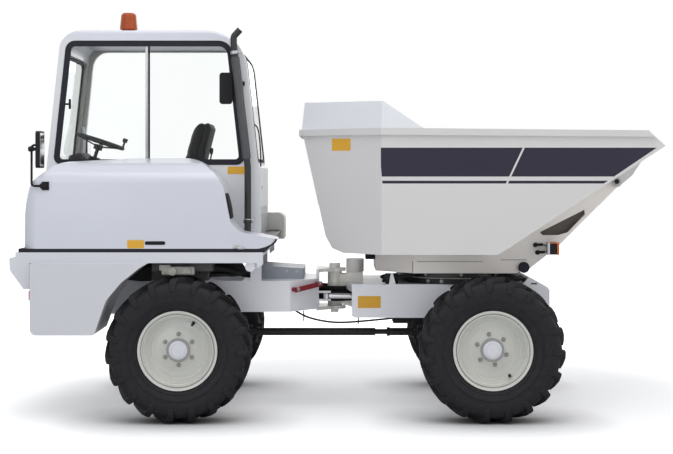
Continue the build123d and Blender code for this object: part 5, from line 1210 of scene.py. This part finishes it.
# painted light: the frame's white is lighter and warmer than the hood's
two_tone = mix_colour(tree, black, (0.91, 0.87, 0.82, 1.0), (0.010, 0.010, 0.011, 1.0))
weathered(tree, shader, two_tone, 0.34, 0.05, 0.05, 40, 0.012)
feed(tree, shader, {"Coat Weight": 0.3})
paint("swivel_frame", swivel_paint_and_painted_light)
print("black ring up to", RING_TOP)

# %% [markdown]
# Bolts hold both halves of the ring: one row through the turning half above, one through
# the fixed half below. A thin pale seal parts them.

# %% Slewing-ring bolts and seal
RING_REACH = 0.475


def ring_bolts(name, turns, height, count, body):
    """Bolts on the ring's face, each of them at the given degrees from the right side."""
    bolt = bmesh.new()
    for turn in turns:
        spot = Vector((sin(radians(turn)), -cos(radians(turn)), 0))
        bolt_head(bolt, spot * (RING_REACH - 0.0005), spot, 0.020, 0.010, 0.013)
    return repeated(bolt, name, "zinc_bolt", body, (SWIVEL_X, 0, height), (0, 0, 1), count)


ring_bolts("ring_bolts_upper", (-1.7,), 1.010, 11, "swivel_base")
ring_bolts("ring_bolts_lower", (-31.9, -19.1), 0.960, 6, "front_chassis")
SEAL = [(0.470, -0.003), (0.470, 0.003), (0.478, 0.002), (0.478, -0.002)]
lip = spun(bmesh.new(), SEAL, (SWIVEL_X, 0, 0.9815), (0, 0, 1), 96)
settle(lip, "ring_seal", "lining_grey", "front_chassis")
print("ring bolts", 11 + 12)

# %% [markdown]
# The swivel arm is a box section: behind its slot lies the inner plate, in shade, and its
# dark brown-grey is painted shade. Beside the slot are the lamp's connectors, and the lamp
# itself is a black lens with a pale frame and an amber end.

# %% Slot backing, connectors and lamps
SLOT_BACK = [
    # (length, height)
    (1.440, 1.280), (1.640, 1.280), (1.700, 1.310), (1.822, 1.465), (1.828, 1.515),
    (1.780, 1.515), (1.450, 1.330),
]
PLUG = [(0, -0.004), (0.015, -0.004), (0.017, 0.010), (0.011, 0.020), (0.011, 0.032), (0, 0.034)]
PLUG_TAIL = [(0, 0), (0.0095, 0), (0.0095, 0.048), (0, 0.050)]
for hand, side in HANDS.items():
    # painted shade: the inner plate behind the slot is dark brown-grey
    back = slab(bmesh.new(), SLOT_BACK, side * 0.500, side * 0.494)
    settle(back, "arm_inner_plate_painted_shade_" + hand, "shade_and_seam_brown", "swivel_base", smooth=False)
    plugs = bmesh.new()
    y = side * 0.550
    for x, z in ((1.440, 1.233), (1.455, 1.178)):
        spun(plugs, PLUG, (x, y, z), (0.45, side, 0.15), 18)
        spun(plugs, PLUG_TAIL, (x + 0.006, y + side * 0.016, z + 0.002), (1, 0, 0.05), 14)
    settle(plugs, "lamp_plugs_" + hand, "moulded_black", "swivel_base")
    for number, z in enumerate((1.235, 1.180)):
        end = 1.215 - 0.02 * number
        run = ((1.495, 0.018, z), (1.515, 0.030, z + 0.002), (1.522, 0.050, end), (1.528, 0.090, end))
        line = [(x, y + side * out, z) for x, out, z in run]
        hose(f"lamp_lead_{hand}_{number}", line, 0.0045, "hose_rubber", "swivel_base")
    low, high = sorted((side * 0.640, side * 0.7185))
    bezel = plate(bmesh.new(), (1.5100, low, 1.1695), (1.5220, high, 1.2605), 0.003)
    settle(bezel, "lamp_bezel_" + hand, "machine_white", "swivel_base")
    amber = plate(bmesh.new(), (1.5745, low, 1.1700), (1.5905, high, 1.2600), 0.004)
    low, high = sorted((side * 0.700, side * 0.7182))
    plate(amber, (1.5220, low, 1.2520), (1.5760, high, 1.2605), 0.002)
    settle(amber, "lamp_amber_" + hand, "lens_amber", "swivel_base")
print("lamps dressed")

# %% [markdown]
# The skip tips on two pins. Each shows a pale collar and a dark end, set on the outermost
# face that is found there. Hoses lead to the small motor that turns the ring.

# %% Tipping pins, ring hoses and slewing motor
TIP_X, TIP_Z = 2.029, 1.696
COLLAR = [(0.016, -0.002), (0.016, 0.004), (0.027, 0.004), (0.030, 0.001), (0.030, -0.002)]
PIN_END = [(0, -0.004), (0.0175, -0.004), (0.0175, 0.006), (0.014, 0.009), (0, 0.009)]
for hand, side in HANDS.items():
    skip_spot, _ = face_at("skip", TIP_X, TIP_Z, side)
    arm_spot, _ = face_at("swivel_frame", TIP_X + 0.028, TIP_Z, side)
    outer = max(abs(spot.y) for spot in (skip_spot, arm_spot) if abs(spot.y) < 0.8)
    place = (TIP_X, side * outer, TIP_Z)
    collar = spun(bmesh.new(), COLLAR, place, (0, side, 0), 36)
    settle(collar, "tip_pin_collar_" + hand, "lining_grey", "swivel_base")
    end = spun(bmesh.new(), PIN_END, place, (0, side, 0), 30)
    settle(end, "tip_pin_end_" + hand, "moulded_black", "swivel_base")
    print("pin", hand, round(skip_spot.y, 4), round(arm_spot.y, 4))
RING_HOSES = [
    [(0.330, -0.340, 0.985), (0.350, -0.380, 1.000), (0.420, -0.400, 0.995),
     (0.500, -0.410, 0.990), (0.560, -0.400, 1.000)],
    [(0.345, -0.330, 0.955), (0.345, -0.380, 0.975), (0.400, -0.410, 0.970), (0.470, -0.400, 0.985)],
    [(1.200, -0.440, 0.968), (1.240, -0.470, 0.985), (1.300, -0.480, 0.990),
     (1.350, -0.450, 0.985), (1.380, -0.380, 0.965)],
    [(1.180, -0.450, 1.000), (1.230, -0.478, 1.010), (1.290, -0.470, 1.005), (1.340, -0.430, 0.970)],
]
for number, line in enumerate(RING_HOSES):
    hose(f"ring_hose_{number}", line, 0.014, "hose_rubber", "front_chassis")
PORT = [(0, 0), (0.026, 0), (0.026, 0.020), (0.020, 0.026), (0, 0.026)]
motor = plate(bmesh.new(), (0.352, -0.400, 0.938), (0.452, -0.320, 1.012), 0.010)
spun(motor, PORT, (0.370, -0.398, 0.985), (0, -1, 0), 24)
settle(motor, "slew_motor", "satin_black", "front_chassis")
print("hoses at the ring", len(RING_HOSES))

# %% [markdown]
# Dark lines mark the seams of the swivel frame's plates. The rear one crosses a bent face,
# so it is laid in short lengths.

# %% Seams of the swivel frame
SEAMS = {
    # name: the low and the high corner of a thin dark line, and how many lengths it is cut in
    "swivel_seam_upright": ((0.5480, 1.030), (0.5520, 1.114), 1),
    "swivel_seam_rear": ((0.5520, 1.1105), (1.0620, 1.1140), 17),
    "swivel_seam_front": ((1.1900, 1.1230), (1.3800, 1.1270), 6),
}
for name, (low, high, lengths) in SEAMS.items():
    seam = bmesh.new()
    stride = (high[0] - low[0]) / lengths
    for k in range(lengths):
        start = low[0] + k * stride
        end = start + stride
        corners = [(end, high[1]), (start, high[1]), (start, low[1]), (end, low[1])]
        laid(seam, corners, "swivel_frame", 0.0006)
    settle(seam, name, "shade_and_seam_brown", "swivel_base", smooth=False)
print("seams", len(SEAMS))

# %% [markdown]
# ## Between the halves
# Hoses cross the articulation. Each is one smooth line that runs along the rear half before
# the pivot and the front half after it, and none of them rides on either half. A thin electric
# lead hangs below them in a slack curve, tied to each frame, with a clip on the front one.

# %% Hoses across the pivot
HOSE_PLACES = [
    # (breadth, height)
    (-0.110, 0.884), (-0.106, 0.853), (-0.112, 0.824), (-0.108, 0.801), (0.110, 0.884),
    (0.112, 0.850),
]
HOSE_RUN = [
    # (length, share of the breadth, height over the hose's own)
    (-0.200, 0.90, 0.010), (-0.140, 0.95, 0.006), (-0.070, 1.0, 0.0), (0.010, 1.0, -0.004),
    (0.090, 1.0, 0.0), (0.170, 1.0, 0.006), (0.300, 0.90, 0.010),
]
LEAD_RUN = [
    (-0.308, -0.380, 0.736), (-0.262, -0.380, 0.706), (-0.190, -0.375, 0.678),
    (-0.080, -0.370, 0.654), (0.031, -0.370, 0.647), (0.180, -0.375, 0.658),
    (0.310, -0.385, 0.672), (0.415, -0.395, 0.683), (0.470, -0.400, 0.700),
]
crossing = []
for number, (y, z) in enumerate(HOSE_PLACES):
    line = [(x, y * share, z + up) for x, share, up in HOSE_RUN]
    crossing.append(hose(f"pivot_hose_{number}", line, 0.0165, "boot_black", None, 12))
crossing.append(hose("pivot_lead", LEAD_RUN, 0.0075, "hose_rubber", None))
for piece in crossing:
    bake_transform(piece)
ties = plate(bmesh.new(), (-0.2535, -0.386, 0.660), (-0.2445, -0.374, 0.738), 0.001)
settle(ties, "lead_tie_rear", "moulded_black", "rear_chassis")
ties = plate(bmesh.new(), (0.1505, -0.392, 0.640), (0.1595, -0.380, 0.694), 0.001)
plate(ties, (0.410, -0.360, 0.640), (0.560, -0.250, 0.6925), 0.012)
settle(ties, "lead_tie_front", "moulded_black", "front_chassis")
print("hoses across", len(crossing))

# %% [markdown]
# ## The driver's seat
# The seat is upholstered: a crowned cushion and a tall back, each in black vinyl with a
# piped edge and sewn channels. A pad is a closed form with few faces, pulled in between
# its corners, and a Subdivision Surface modifier rounds it. The channels are pressed in
# by moving the rows of points where the seams run.

# %% Cushion and back
CELLS_LONG, CELLS_WIDE = 24, 20
SEAM_WIDTH = 0.035      # of a sewn channel, as a share of half the pad
CHANNEL_DEPTH = 0.007   # metres that the channels across the pad are pressed in
PIPING_DEPTH = 0.006    # and those along its two sides
PIPING_AT = 0.78        # where these stand, as a share of half the width
PLAIN_SHARE = 0.30      # the share of the thickness that isn't rounded off at the rim
RIM_DROP = 0.65         # how much of the rest the rim loses


def press(distance, depth):
    """How deep a sewn channel presses in at a distance from its middle."""
    return exp(-((distance / SEAM_WIDTH) ** 2)) * depth


def pad(name, origin, along, up, length, width, thick, crown, channels):
    """A crowned pad on a plane: along and up span its side view, its width lies across."""
    along, up = Vector(along).normalized(), Vector(up).normalized()
    over = Vector((0, 1, 0))
    shape = bmesh.new()
    grids = []
    for layer in (0, 1):
        rows = []
        for i in range(CELLS_LONG + 1):
            row = []
            for j in range(CELLS_WIDE + 1):
                u, v = i / CELLS_LONG * 2 - 1, j / CELLS_WIDE * 2 - 1
                edge = max(abs(u), abs(v))
                bow = (1 - u**4) * (1 - v**4)
                pull = 1 - 0.035 * (1 - u * u) * abs(v) ** 6
                pull_l = 1 - 0.025 * (1 - v * v) * abs(u) ** 6
                sewn = sum(press(u - c, CHANNEL_DEPTH) for c in channels) * (abs(v) < 0.82)
                sewn += press(abs(v) - PIPING_AT, PIPING_DEPTH) * (abs(u) < 0.9)
                full = thick * (PLAIN_SHARE + (1 - PLAIN_SHARE) * (1 - edge**8 * RIM_DROP))
                full += crown * bow - sewn
                spot = along * (u * pull_l + 1) * length / 2 + over * v * pull * width / 2
                row.append(shape.verts.new(Vector(origin) + spot + up * (full if layer else 0.0)))
            rows.append(row)
        grids.append(rows)
    for layer, rows in enumerate(grids):
        for i in range(CELLS_LONG):
            for j in range(CELLS_WIDE):
                face = (rows[i][j], rows[i + 1][j], rows[i + 1][j + 1], rows[i][j + 1])
                shape.faces.new(face if layer else face[::-1])
    rim = [(i, 0) for i in range(CELLS_LONG)] + [(CELLS_LONG, j) for j in range(CELLS_WIDE)]
    rim += [(i, CELLS_WIDE) for i in range(CELLS_LONG, 0, -1)]
    rim += [(0, j) for j in range(CELLS_WIDE, 0, -1)]
    for k, (i, j) in enumerate(rim):
        m, n = rim[(k + 1) % len(rim)]
        shape.faces.new((grids[0][i][j], grids[0][m][n], grids[1][m][n], grids[1][i][j]))
    piece = settle(shape, name, "seat_vinyl", "rear_chassis")
    round_off = piece.modifiers.new("Round", "SUBSURF")
    round_off.levels = round_off.render_levels = 1
    return piece


cushion = pad(
    "seat_cushion", (-1.586, 0, 1.625), along=(1, 0, -0.05), up=(0.05, 0, 1), length=0.470,
    width=0.470, thick=0.078, crown=0.022, channels=(-0.45, 0.0, 0.45),
)
pad(
    "seat_back", (-1.120, 0, 1.668), along=(0.262, 0, 0.965), up=(-0.965, 0, 0.262), length=0.478,
    width=0.440, thick=0.070, crown=0.020, channels=(-0.5, -0.1, 0.3),
)
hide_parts("seat")

SHELL = [
    # (length, height)
    (-1.560, 1.610), (-1.560, 1.634), (-1.130, 1.634), (-1.060, 1.690), (-0.955, 2.100),
    (-0.972, 2.136), (-1.000, 2.128), (-1.098, 1.706), (-1.148, 1.610),
]
shell = slab(bmesh.new(), SHELL, -0.215, 0.215, 0.006)
settle(shell, "seat_shell", "moulded_black", "rear_chassis")

# %% The scene brought up to date
bpy.context.view_layer.update()
